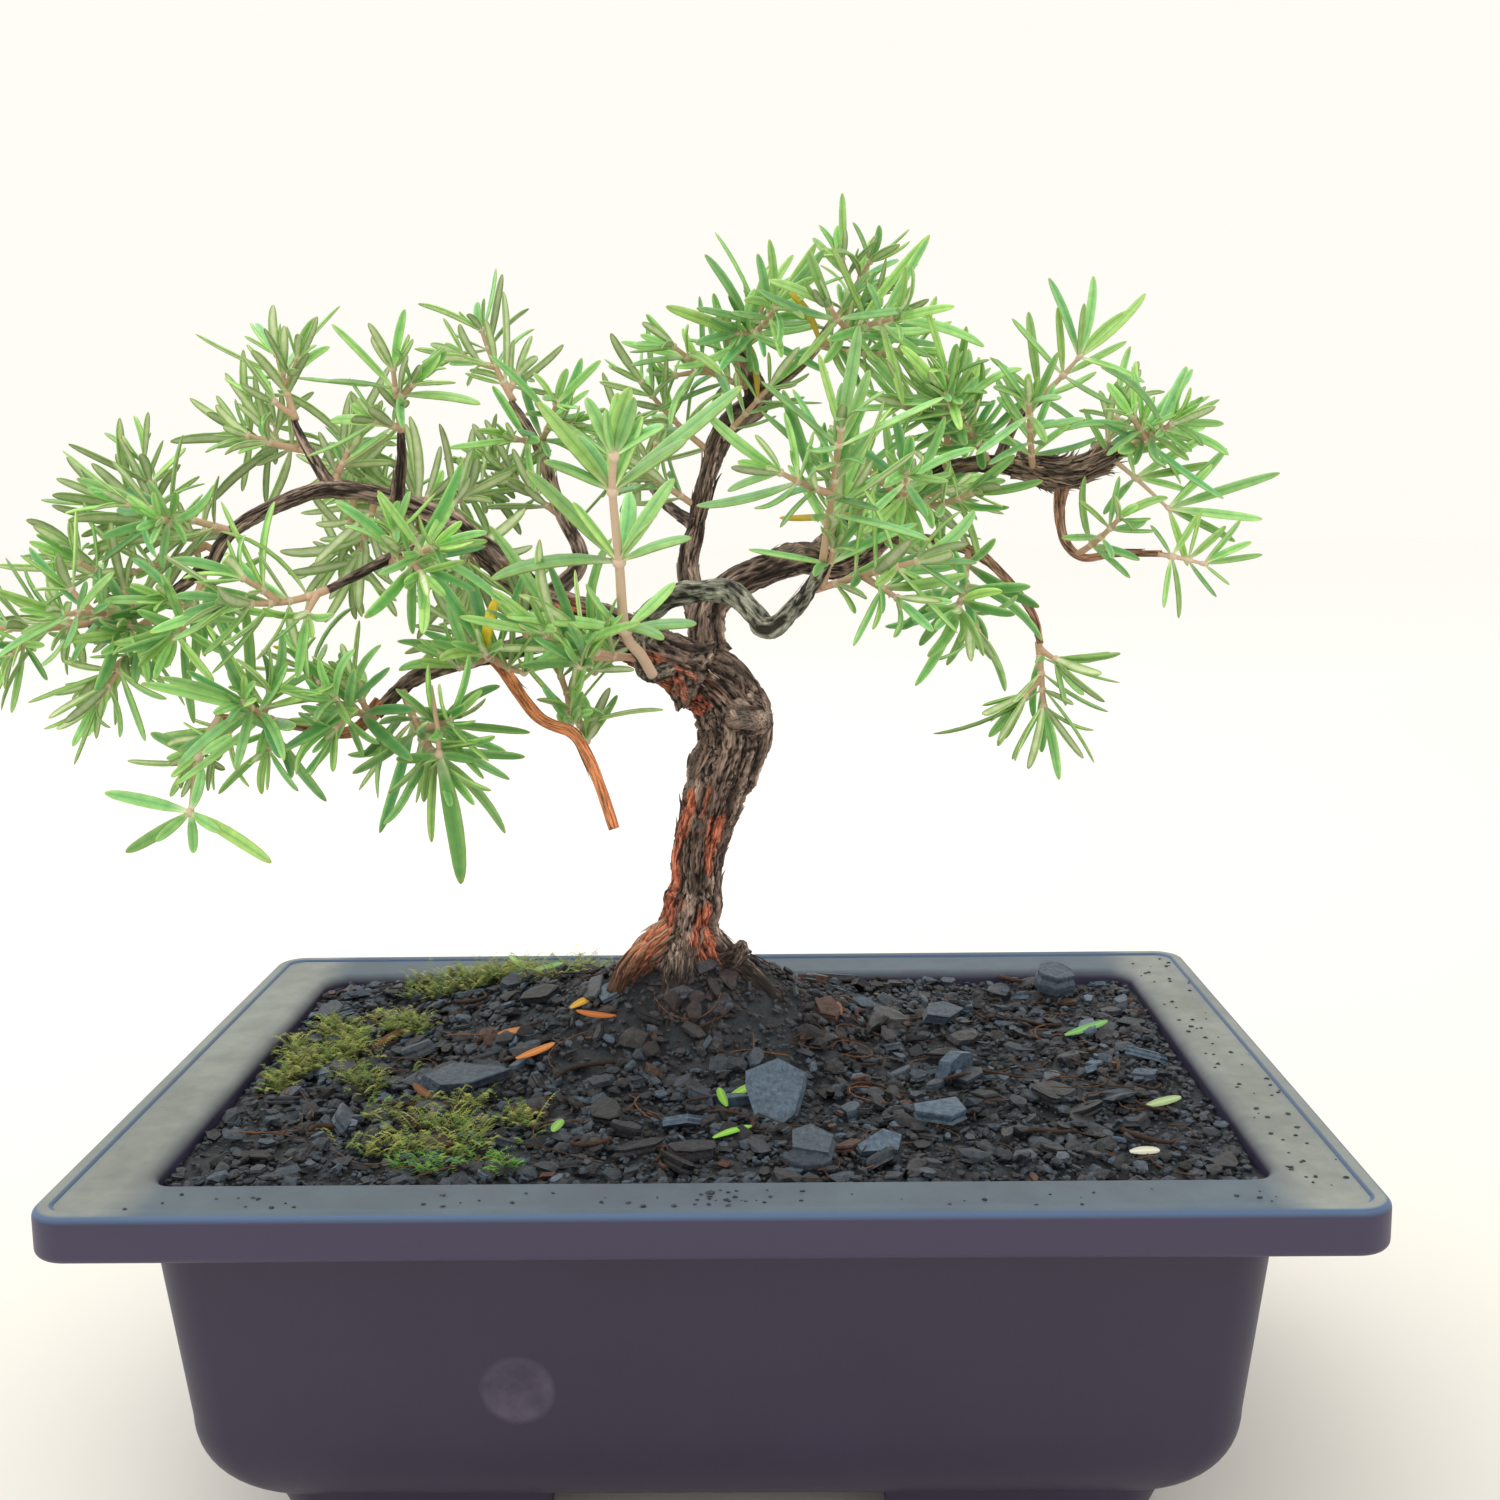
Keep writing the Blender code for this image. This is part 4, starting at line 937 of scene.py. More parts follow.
def make_chips(finish):
    """The six large chips that have CAD nodes, then the many smaller ones."""
    for index in range(1, 7):
        name = f"bark_chip_{index}"
        middle, size = box_of(name)
        rng = draws(name)
        shape = Shape()
        # Chips 1 and 3 take most of the blue-grey: partly their own colour, partly a painted reflection of
        # the sky.
        chip(shape, rng, size.x * 1.1, size.y * 1.1, size.z * 0.6, middle.x, middle.y, middle.z + MM,
             rng.uniform(-0.2, 0.2), 0.75 if index == 1 else 0.2, (0.7, 0.9 if index in (1, 3) else 0.5, 0))
        place(f"large_{name}", shape.mesh(name, smooth=False), "bark_chips", [finish], name)
    rng = draws("chips")
    for name, count, low, high in FLAKES:
        shape = Shape()
        for x, y in scatter_places(rng, count, high / 2 * MM):
            if from_trunk(x, y) < rng.uniform(15, 42) * MM:
                continue
            length = rng.uniform(low, high) * MM
            # Some flakes take the blue-grey: partly their own colour, partly a painted reflection of the
            # sky.
            grey = min(1.0, max(0.0, rng.gauss(0.1, 0.45)))
            chip(shape, rng, length, length * rng.uniform(0.25, 0.8), length * rng.uniform(0.12, 0.3), x, y,
                 soil_height(x, y) + rng.uniform(0.5, 1.6) * MM, rng.uniform(0, math.tau),
                 rng.gauss(0, 0.45), (rng.random(), grey, 1.0 if rng.random() < 0.07 else 0.0))
        place(name, shape.mesh(name, smooth=False), "soil", [finish])


def make_fibres():
    """Twigs and fine dead roots lying over the soil."""
    finish = dead_root()
    for name, count, low, high, thin, thick in FIBRES:
        rng = draws(name)
        shape = Shape()
        for x, y in scatter_places(rng, count, 8 * MM):
            length = rng.uniform(low, high) * MM
            turn = rng.uniform(0, math.tau)
            curve = rng.gauss(0, 1.6) / (20 * MM)
            lift = rng.uniform(1.0, 2.0) * MM
            spots = []
            for k in range(10):
                along = (k / 9 - 0.5) * length
                angle = turn + curve * along
                px, py = x + math.cos(angle) * along, y + math.sin(angle) * along
                arching = 1 + 0.3 * math.sin(k * 0.6 + turn)
                spots.append((px, py, soil_height(px, py) + lift * arching))
            radii = np.linspace(1, 0.6, 10) * rng.uniform(thin, thick) * MM
            pale = rng.random() if name == "fine_roots" else rng.uniform(0, 0.3)
            tube(shape, spots, radii, 6, crumb=(pale, 0, 0))
        place(name, shape.mesh(name), "soil", [finish])


FROND_STEPS = 13  # along a frond's stem


def make_moss():
    """Four cushions of fronds: each frond is an arched stem with leaflets down both sides."""
    finish = sheet_moss()
    for index in range(1, 5):
        name = f"moss_{index}"
        middle, size = box_of(name)
        half = size / 2
        rng = draws(name)
        shape = Shape()
        count = round(half.x * half.y / (MM * MM) * (1.15 if index < 3 else 0.7))
        while shape.count < count * 8 * (FROND_STEPS - 1):
            x, y = rng.uniform(-1, 1), rng.uniform(-1, 1)
            reach = math.hypot(x, y)
            if reach > 1.05 or noise.noise(Vector((x * 2.2, y * 2.2, index))) < -0.12 + 0.25 * reach:
                continue
            x, y = middle.x + x * half.x, middle.y + y * half.y
            frond(shape, rng, x, y, 1 - 0.5 * reach, 0.85 if index == 4 else rng.choice((0, 0, 0.1, 0.5)))
        place(f"{name}_fronds", shape.mesh(name, smooth=False), "moss", [finish], name)


def frond(shape, rng, x, y, vigour, green):
    """An arched stem with leaflets down both sides."""
    length = rng.uniform(4.5, 9.0) * MM * (0.6 + 0.5 * vigour)
    turn = rng.uniform(0, math.tau)
    heading = level_heading(turn)
    across = np.array((-heading[1], heading[0], 0))
    shares = np.linspace(0, 1, FROND_STEPS)[:, None]
    start = np.array((x, y, soil_height(x, y) + rng.uniform(-0.5, 0.8) * MM))
    lift = np.sin(shares * math.pi * rng.uniform(0.4, 0.85)) * rng.uniform(0.25, 0.85)
    spine = start + length * (heading * shares * 0.8 + np.array((0, 0, 1)) * lift)
    chance = rng.random()
    points, faces = [], []
    for k in range(1, FROND_STEPS):
        size = 1.15 * MM * (1.15 - k / FROND_STEPS) * rng.uniform(0.8, 1.2)
        for sign in (-1, 1):
            droop = np.array((0, 0, rng.uniform(-0.1, 0.6)))
            leaflet = spine[k] + sign * across * size + heading * size * 0.8 + droop * size
            broad = heading * size * 0.26
            n = len(points)
            points += [spine[k] - broad, spine[k] + broad, leaflet + broad * 0.3, leaflet - broad * 0.3]
            faces.append((n, n + 1, n + 2, n + 3))
    height = np.repeat(np.linspace(0.2, 1, FROND_STEPS - 1), 8)
    values = np.column_stack((np.full(len(points), chance), height, np.full(len(points), green)))
    shape.add(points, [faces], frond=values)


# Wood.


def bark_relief(name, spots, radii, around, sides, ups, along):
    """Ridge height, peeled share, cut share and fibre coordinates at the points of a limb's rings."""
    seed = Vector((sum(map(ord, name)) % 97, len(name), 3))
    angles = np.arange(around) * math.tau / around
    shares = along / along[-1]
    ridge, peeled, cut = (np.zeros((len(spots), around)) for _ in range(3))
    fibre = np.zeros((len(spots), around, 3))
    patches = [patch[1:] for patch in PEELED if patch[0] == name]
    cuts = [mark[1:] for mark in CUTS if mark[0] == name]
    for i, radius in enumerate(radii):
        reach = max(radius / MM, 1.2)
        facing = []
        for start, end, way, spread in patches:
            centre = math.atan2(np.dot(way, ups[i]), np.dot(way, sides[i]))
            inside = min(1, max(0, (shares[i] - start) / 0.04), max(0, (end - shares[i]) / 0.04))
            facing.append((centre, inside, math.radians(spread)))
        marks = []
        for share, way, size in cuts:
            centre = math.atan2(np.dot(way, ups[i]), np.dot(way, sides[i]))
            marks.append((centre, (shares[i] - share) * along[-1] / (size * MM), radius / (size * MM)))
        for j, angle in enumerate(angles):
            twist = angle + along[i] / BARK_TWIST
            spot = Vector((math.cos(twist) * reach, math.sin(twist) * reach, along[i] / MM * 0.10))
            sway = noise.noise(spot * 0.35 + seed) * 1.4
            spot = spot + Vector((sway, -sway, 0)) + seed
            fibre[i, j] = spot
            # Furrows run where the noise crosses zero: valleys between strips, and finer creases.
            coarse = noise.noise(spot * 0.5)
            valley = 1 - min(1, abs(noise.noise(spot * 1.05)) * 5)
            crease = 1 - min(1, abs(noise.noise(spot * 2.3 + seed)) * 4)
            ridge[i, j] = 0.7 * coarse + 0.3 - 0.95 * valley - 0.45 * crease
            for centre, inside, spread in facing:
                off = abs((angle - centre + math.pi) % math.tau - math.pi)
                bare = inside * max(0, 1.1 - (off / spread) ** 2) + 0.75 * coarse
                peeled[i, j] = max(peeled[i, j], min(1, max(0, (bare - 0.5) * 4)))
            # A cut is a flat face inside a ring of swollen bark.
            for centre, rise, turns in marks:
                off = (angle - centre + math.pi) % math.tau - math.pi
                away = math.hypot(rise, off * turns)
                collar = math.exp(-((away - 1.15) / 0.35) ** 2)
                face = min(1, max(0, (1.05 - away) * 4))
                ridge[i, j] = ridge[i, j] * (1 - face) + 1.5 * collar - 0.5 * face
                cut[i, j] = max(cut[i, j], face * 0.85)
    return ridge, peeled, cut, fibre


def with_ends(rings, foot, end):
    """The rows of all the rings, then one row for each end."""
    return np.vstack((rings.reshape(-1, 3), foot, end))


def grow_limb(shape, name, radii, points, step, around):
    """A limb with its bark: fibres drawn along it, hollows where bark has gone, a flared foot."""
    spots, shares = tree_route(points, step)
    sizes = np.array([at_share(radii, share) for share in shares]) * MM
    along = np.concatenate(([0], np.cumsum(np.linalg.norm(np.diff(spots, axis=0), axis=1))))
    if name in LIMBS and name != "trunk":
        sizes = sizes * (1 + COLLAR_SWELL * np.exp(-along / COLLAR_REACH))
    knots = np.array([noise.noise(Vector((way / KNOT_SPACING, len(name), 0))) for way in along])
    sizes = sizes * (1 + KNOT_SWELL * knots)
    _, sides, ups = directions_along(spots)
    ridge, peeled, cut, fibre = bark_relief(name, spots, sizes, around, sides, ups, along)
    tone = BARK_TONES.get(name, 0.0)
    depth = np.minimum(sizes * BARK_SHARE, BARK_DEPTH)[:, None] * (1 + 0.8 * min(tone, 0))
    radius = sizes[:, None] + depth * (ridge - 0.4 * peeled)
    angles = np.arange(around) * math.tau / around
    if name == "trunk":
        # The foot is fluted where the roots run into it.
        flutes = np.zeros_like(radius)
        for _, route in ROOTS.values():
            heading = math.atan2(route[1][1] - route[0][1], route[1][0] - route[0][0])
            flutes += np.maximum(0, np.cos(angles - heading)) ** 6
        fading = np.exp(-np.maximum(0, along - FLUTE_FOOT) / FLUTE_REACH)[:, None]
        radius = radius + FLUTE_DEPTH * flutes * fading
    cosines, sines = np.cos(angles)[None, :, None], np.sin(angles)[None, :, None]
    body = spots[:, None] + radius[:, :, None] * (sides[:, None] * cosines + ups[:, None] * sines)
    bark = np.dstack((ridge, peeled, np.full_like(ridge, tone)))
    cut = np.dstack((cut, np.full_like(cut, float(name in FRESH_CUTS)), cut))
    blocks = (sleeve(len(spots), around), end_caps(len(spots), around))
    shape.add(with_ends(body, spots[0], spots[-1]), blocks,
              fibre=with_ends(fibre, fibre[0].mean(0), fibre[-1].mean(0)),
              bark=with_ends(bark, (0.3, 0, tone), (0.3, 0, tone)),
              cut=with_ends(cut, (0, 0, 0), (0.5, 0, 0)))
    return spots, sizes, sides, ups


def peel_strips(shape, rng, spots, sizes, sides, ups, count, most):
    """Strips of outer bark that have lifted at one end."""
    for _ in range(count):
        length = rng.randint(6, 16)
        if len(spots) < length + 4:
            continue
        start = rng.randrange(len(spots) - length - 2)
        angle = rng.uniform(0, math.tau)
        lift = rng.uniform(0.2, most) * MM
        strip = []
        for k in range(length):
            i = start + k
            out = around_at(sides, ups, i, angle)
            away = sizes[i] * 1.02 + lift * max(0.0, k / length - 0.35) ** 2 * 2
            strip.append(spots[i] + out * away)
            angle += rng.uniform(-0.03, 0.05)
        if rng.random() < 0.5:
            strip = strip[::-1]
        widths = np.sin(np.linspace(0.25, math.pi - 0.1, length)) * rng.uniform(0.15, 0.45) * MM
        tube(shape, strip, widths, 6, flat=0.5, fibre=np.array(strip[0]) / MM,
             bark=(rng.uniform(-0.3, 0.5), 0, 0), cut=0)


def make_wood():
    """The trunk with its roots, and the limbs."""
    trunk, limbs = Shape(), Shape()
    rng = draws("wood")
    for name, (radii, points) in {**LIMBS, **ROOTS}.items():
        shape = trunk if "trunk" in name or "root" in name else limbs
        if name == "trunk":
            step, around, strips = 0.55, 132, 90
        elif name == "right_mass":
            step, around, strips = 0.6, 48, 130
        elif max(radii) > 3:
            step, around, strips = 0.7, 56, 22
        else:
            step, around, strips = 0.8, 22, 3
        grown = grow_limb(shape, name, radii, points, step * MM, around)
        peel_strips(shape, rng, *grown, strips, 4.5 if name == "right_mass" else 1.6)
    (x, y, z), radius = FOOT_LUMP
    heights = [z + reach * radius for reach in (-0.95, -0.5, 0, 0.5, 0.95)]
    spots = tree_foot[:] + np.array([(x, y, height) for height in heights]) * MM
    sizes = np.array((0.3, 0.85, 1, 0.85, 0.3)) * radius * MM
    tube(trunk, spots, sizes, 12, fibre=(x, y, 0), bark=(0.4, 0, 0), cut=0)
    finish = fibrous_bark()
    place("rosemary_trunk", trunk.mesh("trunk"), "bark", [finish], "tree_wood")
    place("rosemary_limbs", limbs.mesh("limbs"), "bark", [finish])


# Sprigs.

# Half of a leaf's cross-section, from the groove on top, round the rolled margin, to the midrib.
HALF_SECTION = ((0, 0.28), (0.5, 0.55), (0.88, 0.36), (1, 0), (0.82, -0.42), (0.4, -0.14), (0, -0.48))
SECTION = np.array(HALF_SECTION + tuple((-u, v) for u, v in HALF_SECTION[-2:0:-1]))
SECTION_SIDE = np.clip(SECTION[:, 1] * 2.2, -1, 1)
LEAF_STATIONS = np.array((0, 0.05, 0.13, 0.26, 0.42, 0.58, 0.73, 0.85, 0.93, 0.98, 1))
LEAF_OUTLINE = (0.34, 0.44, 0.62, 0.86, 1.0, 1.0, 0.92, 0.78, 0.58, 0.33, 0.12)  # half widths


def leaf(shape, foot, heading, upper, length, width, bend, growth, depth=1.0, sweep=0.0):
    """One leaf, tapered to a blunt tip. It bends up and sweeps sideways by shares of its length."""
    heading = unit(heading)
    across = unit(np.cross(heading, upper))
    normal = np.cross(across, heading)
    t = LEAF_STATIONS[:, None]
    forward = t - 0.3 * (abs(bend) + abs(sweep)) * t ** 3
    centre = foot + length * (heading * forward + normal * bend * t ** 2 + across * sweep * t ** 2)
    tangent = unit(np.gradient(centre, axis=0))
    lift = unit(np.cross(np.broadcast_to(across, tangent.shape), tangent))
    edge = np.cross(tangent, lift)
    share = np.array(LEAF_OUTLINE)
    half = (width / 2 * share)[:, None, None]
    thick = (LEAF_DEPTH * depth * width / LEAF_WIDTH * np.minimum(1, share * 1.15))[:, None, None]
    body = centre[:, None] + edge[:, None] * half * SECTION[:, 0, None]
    body = body + lift[:, None] * thick * SECTION[:, 1, None]
    rings, around = len(LEAF_STATIONS), len(SECTION)
    points = np.vstack((body.reshape(-1, 3), centre[:1], centre[-1:]))
    across_value = np.tile(SECTION[:, 0], rings)
    along_value = np.repeat(LEAF_STATIONS, around)
    side_value = np.tile(SECTION_SIDE, rings)
    values = np.column_stack((across_value, along_value, side_value))
    values = np.vstack((values, (0, 0, 0), (0, 1, 0)))
    shape.add(points, (sleeve(rings, around), end_caps(rings, around)), leaf=values, growth=growth)


wood_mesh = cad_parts["tree_wood"].data
cad_wood = BVHTree.FromPolygons([vert.co for vert in wood_mesh.vertices],
                                [face.vertices for face in wood_mesh.polygons])


def sprig_of(name):
    """Where a shoot's CAD node leaves the wood, its direction, its stem's and its leaves' length."""
    spots = [vert.co.copy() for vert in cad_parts[name].data.vertices]
    gaps = [cad_wood.find_nearest(spot)[3] for spot in spots]
    foot = np.array(spots[gaps.index(min(gaps))] - pot_foot)
    spots = np.array([spot - pot_foot for spot in spots])
    axis = unit(spots.mean(0) - foot)
    forward = (spots - foot) @ axis
    sideways = np.linalg.norm(spots - foot - forward[:, None] * axis, axis=1)
    leaf_length = sideways.max() * 1.12
    return foot, axis, max(forward.max() - 0.5 * leaf_length, 6 * MM), leaf_length


def stem_node(shape, spot, axis, near, far, thin, thick, radius, around=8):
    """A short swelling on a stem: two reaches along the axis in mm, and two shares of a radius."""
    spots = [spot + np.asarray(axis) * reach * MM for reach in (-far, -near, near, far)]
    radii = np.array((thin, thick, thick, thin)) * radius
    tube(shape, spots, radii, around, 1, growth=(0.95, 0, 0), leaf=0)


def leafy_stem(shape, rng, foot, axis, stem, leaf_length, first=0.06, lowest=-1.0):
    """A stem with crossed pairs of leaves, tufts of smaller ones at its nodes, and a leafy tip.

    lowest is how far the leaves may point down, as the upright part of their direction.
    """
    sag = np.array((0, 0, 1.0)) - axis * axis[2]
    steps = max(6, round(stem / (1.5 * MM)))
    shares = np.linspace(0, 1, steps + 1)
    spots = foot + np.outer(shares, axis) * stem
    spots = spots + np.outer(shares * (1 - shares), sag) * stem * rng.uniform(-0.3, 0.15)
    tube(shape, spots, STEM_RADIUS * (1.25 - 0.5 * shares), 8, 1, growth=(0.15, 0, 0), leaf=0)
    _, sides, ups = directions_along(spots)
    spacing = rng.uniform(*NODE_SPACING) * MM
    count = max(3, int(stem * 0.86 / spacing) + 1)
    turn = rng.uniform(0, math.pi)
    for k in range(count):
        share = 1 - k * spacing / stem
        if share < first:
            break
        i = min(int(share * steps), steps - 1)
        spot = spots[i] + (spots[i + 1] - spots[i]) * (share * steps - i)
        stem_node(shape, spot, axis, 0.4, 0.9, 0.6, 1.3, STEM_RADIUS)
        # A pair of full leaves, then one or two pairs of small ones between them.
        for layer in range(3):
            if layer == 2 and k and rng.random() < 0.75:
                continue
            for side in range(2):
                angle = turn + math.pi * side + layer * rng.uniform(0.6, 1.3) + rng.uniform(-0.3, 0.3)
                out = around_at(sides, ups, i, angle)
                if k > 1 and rng.random() < 0.18:
                    continue
                rise = math.radians(rng.uniform(*(LEAF_RISE if k else TIP_RISE)))
                heading = leaning(axis, out, rise)
                heading[2] = max(heading[2], 2 * lowest - heading[2])
                size = rng.uniform(0.85, 1.25) if layer == 0 else rng.uniform(0.45, 0.95)
                size *= 1.0 if k else rng.uniform(0.6, 0.95)
                upper = axis * math.sin(rise) - out * math.cos(rise) + np.array((0, 0, 0.35))
                youth = 0.55 * (1 - k / count) + rng.uniform(-0.4, 0.5)
                growth = rng.random(), float(rng.random() < YELLOW_SHARE), min(1.0, max(0.0, youth))
                width = LEAF_WIDTH * rng.uniform(0.68, 0.98) * (0.7 + 0.3 * size)
                leaf(shape, spot + out * STEM_RADIUS * 0.6, heading, upper, leaf_length * size, width,
                     rng.gauss(-0.06, 0.16), growth, sweep=rng.gauss(0, 0.13))
        turn += math.pi / 2 + rng.uniform(-0.2, 0.2)
    return spots, sides, ups


LIFTED = ("shoot_30", "shoot_15", "shoot_19")  # their leaves keep clear of the top of the trunk


def make_sprig(name, finishes):
    """A main stem and the side stems that leave it."""
    rng = draws(name)
    foot, axis, stem, leaf_length = sprig_of(name)
    shape = Shape()
    foot = foot - axis * STEM_SINK
    lowest = 0.1 if name in LIFTED else -1.0
    spots, sides, ups = leafy_stem(shape, rng, foot, axis, stem + STEM_SINK, leaf_length, lowest=lowest)
    turn = rng.uniform(0, math.tau)
    for share in (0.15, 0.5):
        i = int(share * len(spots))
        side_axis = leaning(axis, around_at(sides, ups, i, turn), rng.uniform(0.7, 1.15))
        leafy_stem(shape, rng, spots[i], side_axis, stem * rng.uniform(0.35, 0.55), leaf_length * 0.85, 0.3,
                   lowest)
        turn += SIDE_STEM_TURN
    place(f"sprig_{name[-2:]}", shape.mesh(name), "leaves", finishes, name)


# Sprigs with no CAD node of their own: limb, share of its length, tip in mm from the trunk's foot,
# and leaf length in mm.
MORE_SPRIGS = (
    ("right_limb", 0.72, (64, -18, 146), 18),
    ("right_limb", 0.80, (84, -20, 144), 17),
    ("right_limb", 0.92, (112, 10, 144), 16),
    ("right_limb", 0.45, (42, -12, 128), 19),
    ("right_down", 0.50, (106, -22, 116), 15),
    ("top", 0.80, (58, 6, 158), 18),
    ("left_limb", 0.70, (-90, 6, 106), 17),
    ("left_limb", 0.62, (-71, 10, 108), 18),
    ("lower_left", 0.60, (-58, -14, 92), 17),
    ("left_limb", 0.55, (-50, 14, 128), 17),
    ("back_left", 0.30, (-62, 22, 96), 17),
    ("upright", 0.45, (-20, 18, 132), 17),
    ("upright", 0.60, (-12, 22, 152), 16),
    ("upright", 0.62, (22, 12, 150), 17),
    ("back_left", 0.80, (-86, 26, 126), 16),
    ("up_left", 0.45, (-50, 12, 132), 16),
    ("left_limb", 0.50, (-54, -4, 106), 18),
    ("left_limb", 0.66, (-84, -6, 104), 18),
    ("lower_left", 0.45, (-40, -22, 98), 18),
    ("low_end", 0.85, (-114, -48, 62), 15),
    ("low_end", 0.30, (-90, -36, 86), 17),
)


def make_more_sprigs(finishes):
    for number, (limb, share, tip, length) in enumerate(MORE_SPRIGS, 1):
        rng = draws(f"more {number}")
        spots, _ = tree_route(LIMBS[limb][1], MM)
        foot = spots[int(share * (len(spots) - 1))]
        reach = np.array(Vector(tip) * MM + tree_foot) - foot
        shape = Shape()
        leafy_stem(shape, rng, foot, unit(reach), np.linalg.norm(reach), length * MM, 0.2)
        place(f"more_sprig_{number}", shape.mesh("more_sprig"), "leaves", finishes)


# Sprigs that stand out by themselves, with the CAD node that each one takes the place of. First the
# stem's route in mm from the trunk's foot, then its whorls: the share of the route, and each leaf's
# reach in mm to the right, up and towards the front.
OPEN_SPRIGS = (
    ("shoot_29", ((-6, -48, 82), (-8, -54, 87), (-11, -60, 93), (-11, -72, 109), (-11, -84, 124),
                  (-10, -90, 131)),
     ((0.27, ((-25, 5, 4), (-21, -4, 6), (16, 3, 5), (11, 9, -4), (-9, 8, 7), (8, 2, 9))),
      (0.57, ((-28, 4, 5), (-18, 20, 2), (11, 18, -3), (14, 7, 7), (-8, 12, 8), (6, 10, 9), (4, 16, -8))),
      (0.86, ((-14, 18, 4), (2, 20, 3), (27, 21, -2), (15, 11, 6), (-12, 8, 6), (7, 15, 7), (-6, 13, -6))),
      (1.00, ((-5, 12, 1), (5, 11, 2), (1, 14, -2), (-2, 8, 5), (9, 8, 0)))), 1.35),
    ("shoot_16", ((-107, -47, 73), (-111, -51, 65), (-113, -54, 51)),
     ((0.45, ((-9, 6, 3), (8, 5, 2), (-4, -3, 6), (3, 9, -4))),
      (0.98, ((-18, 6, 3), (-15, -10, 2), (2, -9, 4), (20, -10, 3), (5, 10, 2), (-6, -5, 6),
              (8, -3, 7)))), 1.0),
    ("shoot_33", ((90, 2, 146), (94, -3, 150), (98, -8, 155)),
     ((0.05, ((-4, 22, 3), (-12, 10, 3), (10, -6, 4), (14, 4, 4), (-8, 3, 6))),
      (0.60, ((-13, 14, 2), (15, 8, 3), (-2, 16, 5), (12, -8, 3))),
      (1.00, ((-6, 20, 2), (6, 19, 1), (19, 14, 1), (17, -4, 3), (0, 12, 6), (10, 14, -3)))), 0.8),
    ("shoot_35", ((117, -15, 107), (122, -16, 106), (128, -16, 104.5)),
     ((0.30, ((4, -15, 2), (6, 10, 3), (-3, -12, 4), (-5, 8, 3))),
      (0.70, ((9, 8, 2), (3, 12, 2), (6, -9, 3))),
      (1.00, ((9, 10, 2), (14, 2, 1), (6, -5, 2), (12, 6, -2)))), 0.7),
    (None, ((107, -1, 131), (112, -8, 126), (120, -12, 118)),
     ((0.10, ((12, 14, 3), (-8, 12, 3), (16, 6, 2))),
      (0.50, ((16, 10, 3), (12, -2, 4), (-4, 12, 3), (20, 3, 1), (-9, -8, 4))),
      (1.00, ((27, 9, 1), (25, -3, 2), (18, -8, 1), (10, 10, 4), (5, -14, 3), (14, 14, 2)))), 0.7),
)


def make_open_sprigs(finishes):
    for number, (name, route, whorls, girth) in enumerate(OPEN_SPRIGS, 1):
        rng = draws(f"open {number}")
        shape = Shape()
        spots, _ = tree_route(route, 0.8 * MM)
        radii = STEM_RADIUS * girth * np.linspace(1.3, 0.75, len(spots))
        tube(shape, spots, radii, 10, 1, growth=(0.6, 0, 0), leaf=0)
        tangents, _, _ = directions_along(spots)
        for share, leaves in whorls:
            i = int(share * (len(spots) - 1))
            stem_node(shape, spots[i], tangents[i], 0.6, 1.3, 0.8, 1.5, radii[i], 10)
            for right, up, front in leaves:
                reach = np.array((right, -front, up)) * MM
                length = np.linalg.norm(reach)
                upper = np.array((rng.uniform(-0.4, 0.4), -0.6, 1.0)) + tangents[i] * 0.8
                growth = rng.random(), 0, rng.uniform(0.3, 0.9)
                width = LEAF_WIDTH * (0.3 + 0.7 * girth) * min(1.1, 0.6 + length / (50 * MM))
                leaf(shape, spots[i] + unit(reach) * radii[i], reach, upper, length, width,
                     rng.gauss(-0.05, 0.1), growth, sweep=rng.gauss(0, 0.09))
        nodes = [name] if name else []
        place(f"open_sprig_{number}", shape.mesh("open_sprig"), "leaves", finishes, *nodes)


def make_hanging_leaf(finishes):
    """One long leaf hangs by itself under the lowest left shoot."""
    shape = Shape()
    node = np.array(Vector((-54.5, -56, 65)) * MM + tree_foot)
    above = np.array(Vector((-57, -50, 80)) * MM + tree_foot)
    tube(shape, (above, above * 0.4 + node * 0.6 + (0.5 * MM, 0, 0), node), 0.8 * STEM_RADIUS, 8, 1,
         growth=(0.4, 0, 0), leaf=0)
    stem_node(shape, node, (0, 0, 1), 0.5, 1.2, 0.6, 1.4, STEM_RADIUS)
    for turn, length, width in ((0.25, 31, 1.45), (-1.4, 10, 0.8), (1.5, 9, 0.8)):
        heading = np.array((math.sin(turn), -0.1, -math.cos(turn)))
        leaf(shape, node, heading, np.array((-0.2, -1.0, 0.1)), length * MM, LEAF_WIDTH * width, 0.05,
             (0.03, 0, 0.1), sweep=0.08)
    place("hanging_leaf", shape.mesh("hanging_leaf"), "leaves", finishes)


FALLEN_COLOURS = ("#7DB56A", "#E8B23C", "#D98A4A", "#A9BF8C", "#8FCB4E")
# More dropped leaves: x and y in mm from the middle of the pot, length in mm, turn in degrees, how
# far the tip rises, and colour.
MORE_FALLEN = (
    (-31, 11, 11, 200, 0.1, "#C9763A"),
    (-54, 14, 9, 20, 0.1, "#C98A55"),
    (-88, 19, 12, 60, 0.2, "#6B4426"),
    (-54, 62, 15, 10, 0.3, "#8FC07A"),
    (-58, 66, 13, 150, 0.3, "#A5D08A"),
    (-36, -42, 6, 80, 0.1, "#8DBB5C"),
    (5, -22, 8, 30, 0.4, "#A9DC5E"),
    (1, -26, 6, 120, 0.5, "#8CC24E"),
    (92, -58, 7, 15, 0.0, "#D8D6C4"),
    (30, 22, 8, 100, 0.1, "#8A5A3A"),
    (-70, -20, 9, 140, 0.1, "#7A4C2C"),
)


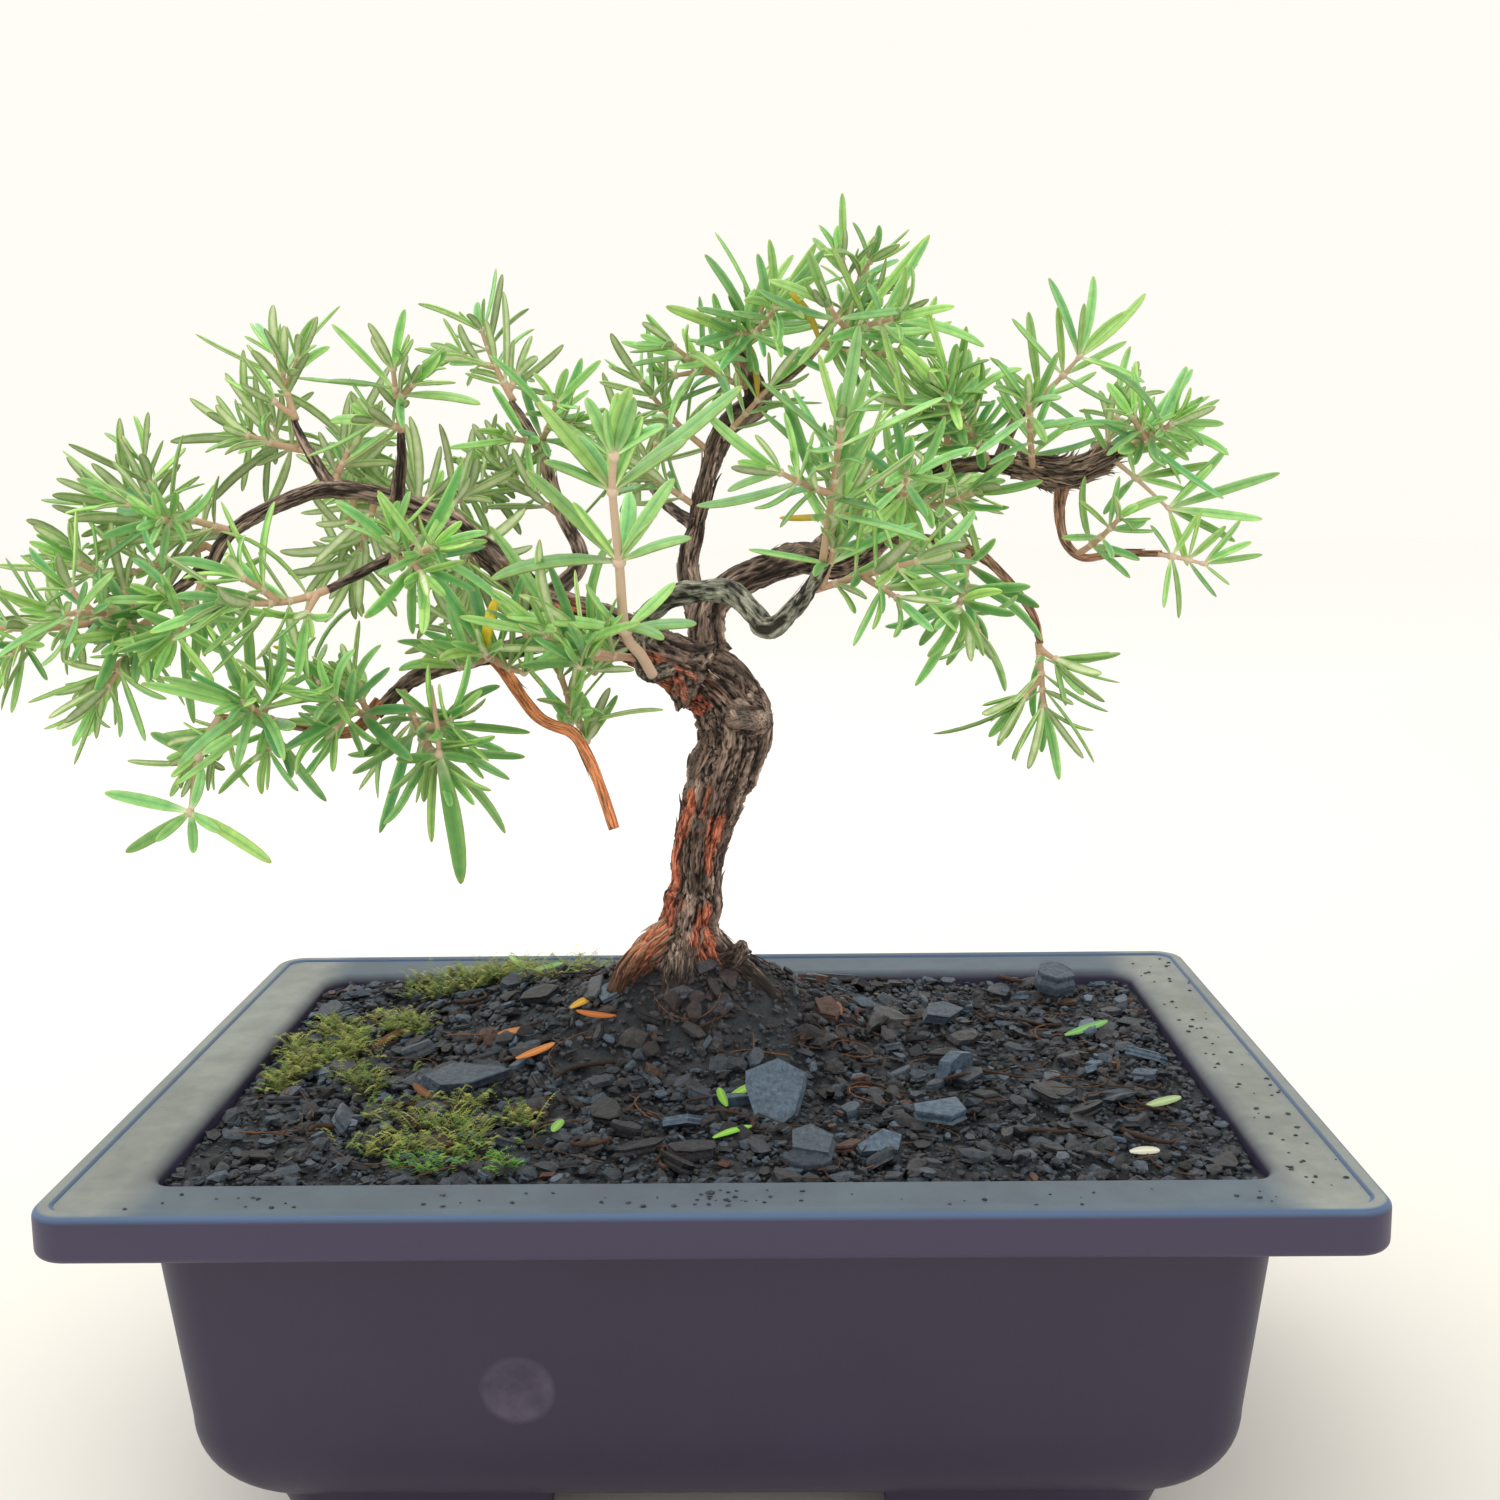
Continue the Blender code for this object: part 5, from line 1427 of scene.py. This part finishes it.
def make_fallen_leaves():
    finish = fallen_leaf()
    for index, colour in enumerate(FALLEN_COLOURS, 1):
        name = f"fallen_leaf_{index}"
        middle, size = box_of(name)
        rng = draws(name)
        turn = math.atan2(size.y, size.x)
        heading = level_heading(turn, 0.08)
        length = math.hypot(size.x, size.y) * 1.15
        foot = np.array(middle) - heading * length / 2 + (0, 0, 1.2 * MM)
        shape = Shape()
        leaf(shape, foot, heading, np.array((rng.uniform(-0.3, 0.3), rng.uniform(-0.5, 0), 1)), length,
             LEAF_WIDTH * 0.8, rng.uniform(-0.15, 0.15), srgb(colour)[:3], depth=0.35)
        place(f"dropped_leaf_{index}", shape.mesh(name), "fallen_leaves", [finish], name)
    shape = Shape()
    for x, y, length, turn, tip, colour in MORE_FALLEN:
        x, y, turn = x * MM, y * MM, math.radians(turn)
        heading = level_heading(turn, tip)
        foot = np.array((x, y, soil_height(x, y) + 2 * MM)) - heading * length * MM * 0.4
        leaf(shape, foot, heading, np.array((0.2, -0.5, 1)), length * MM, LEAF_WIDTH * 0.75, 0.06,
             srgb(colour)[:3], depth=0.35, sweep=0.12)
    place("dropped_leaves", shape.mesh("dropped_leaves"), "fallen_leaves", [finish])


# Stage.


def set_stage():
    scene = bpy.context.scene
    scene.view_settings.view_transform = "Standard"
    world = bpy.data.worlds.new("open shade")
    world.use_nodes = True
    scene.world = world
    background = world.node_tree.nodes["Background"]
    background.inputs["Color"].default_value = srgb("#FFFDF6")
    background.inputs["Strength"].default_value = 1.0
    data = bpy.data.meshes.new("floor")
    reach = 6.0
    corners = ((-reach, -reach, 0), (reach, -reach, 0), (reach, reach, 0), (-reach, reach, 0))
    data.from_pydata(corners, [], [(0, 1, 2, 3)])
    data.materials.append(painted_plaster())
    floor = bpy.data.objects.new("floor", data)
    scene.collection.objects.link(floor)
    floor.location.z = pot_foot.z
    for name, where, size, power in (("sky_panel", (-0.5, 0.3, 1.3), 1.4, 7.0),
                                     ("front_panel", (0.7, -1.2, 0.9), 1.0, 1.5)):
        light = bpy.data.lights.new(name, "AREA")
        light.size = size
        light.energy = power
        lamp = bpy.data.objects.new(name, light)
        scene.collection.objects.link(lamp)
        lamp.location = where
        lamp.rotation_euler = (tree_foot - Vector(where)).to_track_quat("-Z", "Y").to_euler()


def set_camera():
    """A phone's main camera held a little above the rim, tipped down and very slightly rolled."""
    data = bpy.data.cameras.new("camera")
    data.sensor_width = 36
    data.lens = 41.56
    camera = bpy.data.objects.new("camera", data)
    bpy.context.scene.collection.objects.link(camera)
    tip, turn, roll = (math.radians(angle) for angle in (8.81, 0.7, -0.65))
    camera.rotation_euler = (Matrix.Rotation(turn, 3, "Z") @ Matrix.Rotation(math.pi / 2 - tip, 3, "X")
                             @ Matrix.Rotation(roll, 3, "Z")).to_euler()
    camera.location = pot_foot + Vector((13.2, -413.2, 232.7)) * MM
    bpy.context.scene.camera = camera


make_pot()
soil_finish = composted_bark("composted bark", "#15161A", "#3F3E43", "#4E5F70", 0.58)
chip_finish = composted_bark("bark chips", "#17181C", "#34343A", "#55687B", 0.4)
make_soil_bed(soil_finish)
make_crumbs(soil_finish)
make_specks(soil_finish)
make_chips(chip_finish)
make_fibres()
make_moss()
make_wood()
sprig_finishes = [living_leaf(), green_stem()]
open_shoots = [row[0] for row in OPEN_SPRIGS]
for name in sorted(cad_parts):
    if name.startswith("shoot_") and name not in open_shoots:
        make_sprig(name, sprig_finishes)
make_open_sprigs(sprig_finishes)
make_more_sprigs(sprig_finishes)
make_hanging_leaf(sprig_finishes)
make_fallen_leaves()
set_stage()
set_camera()
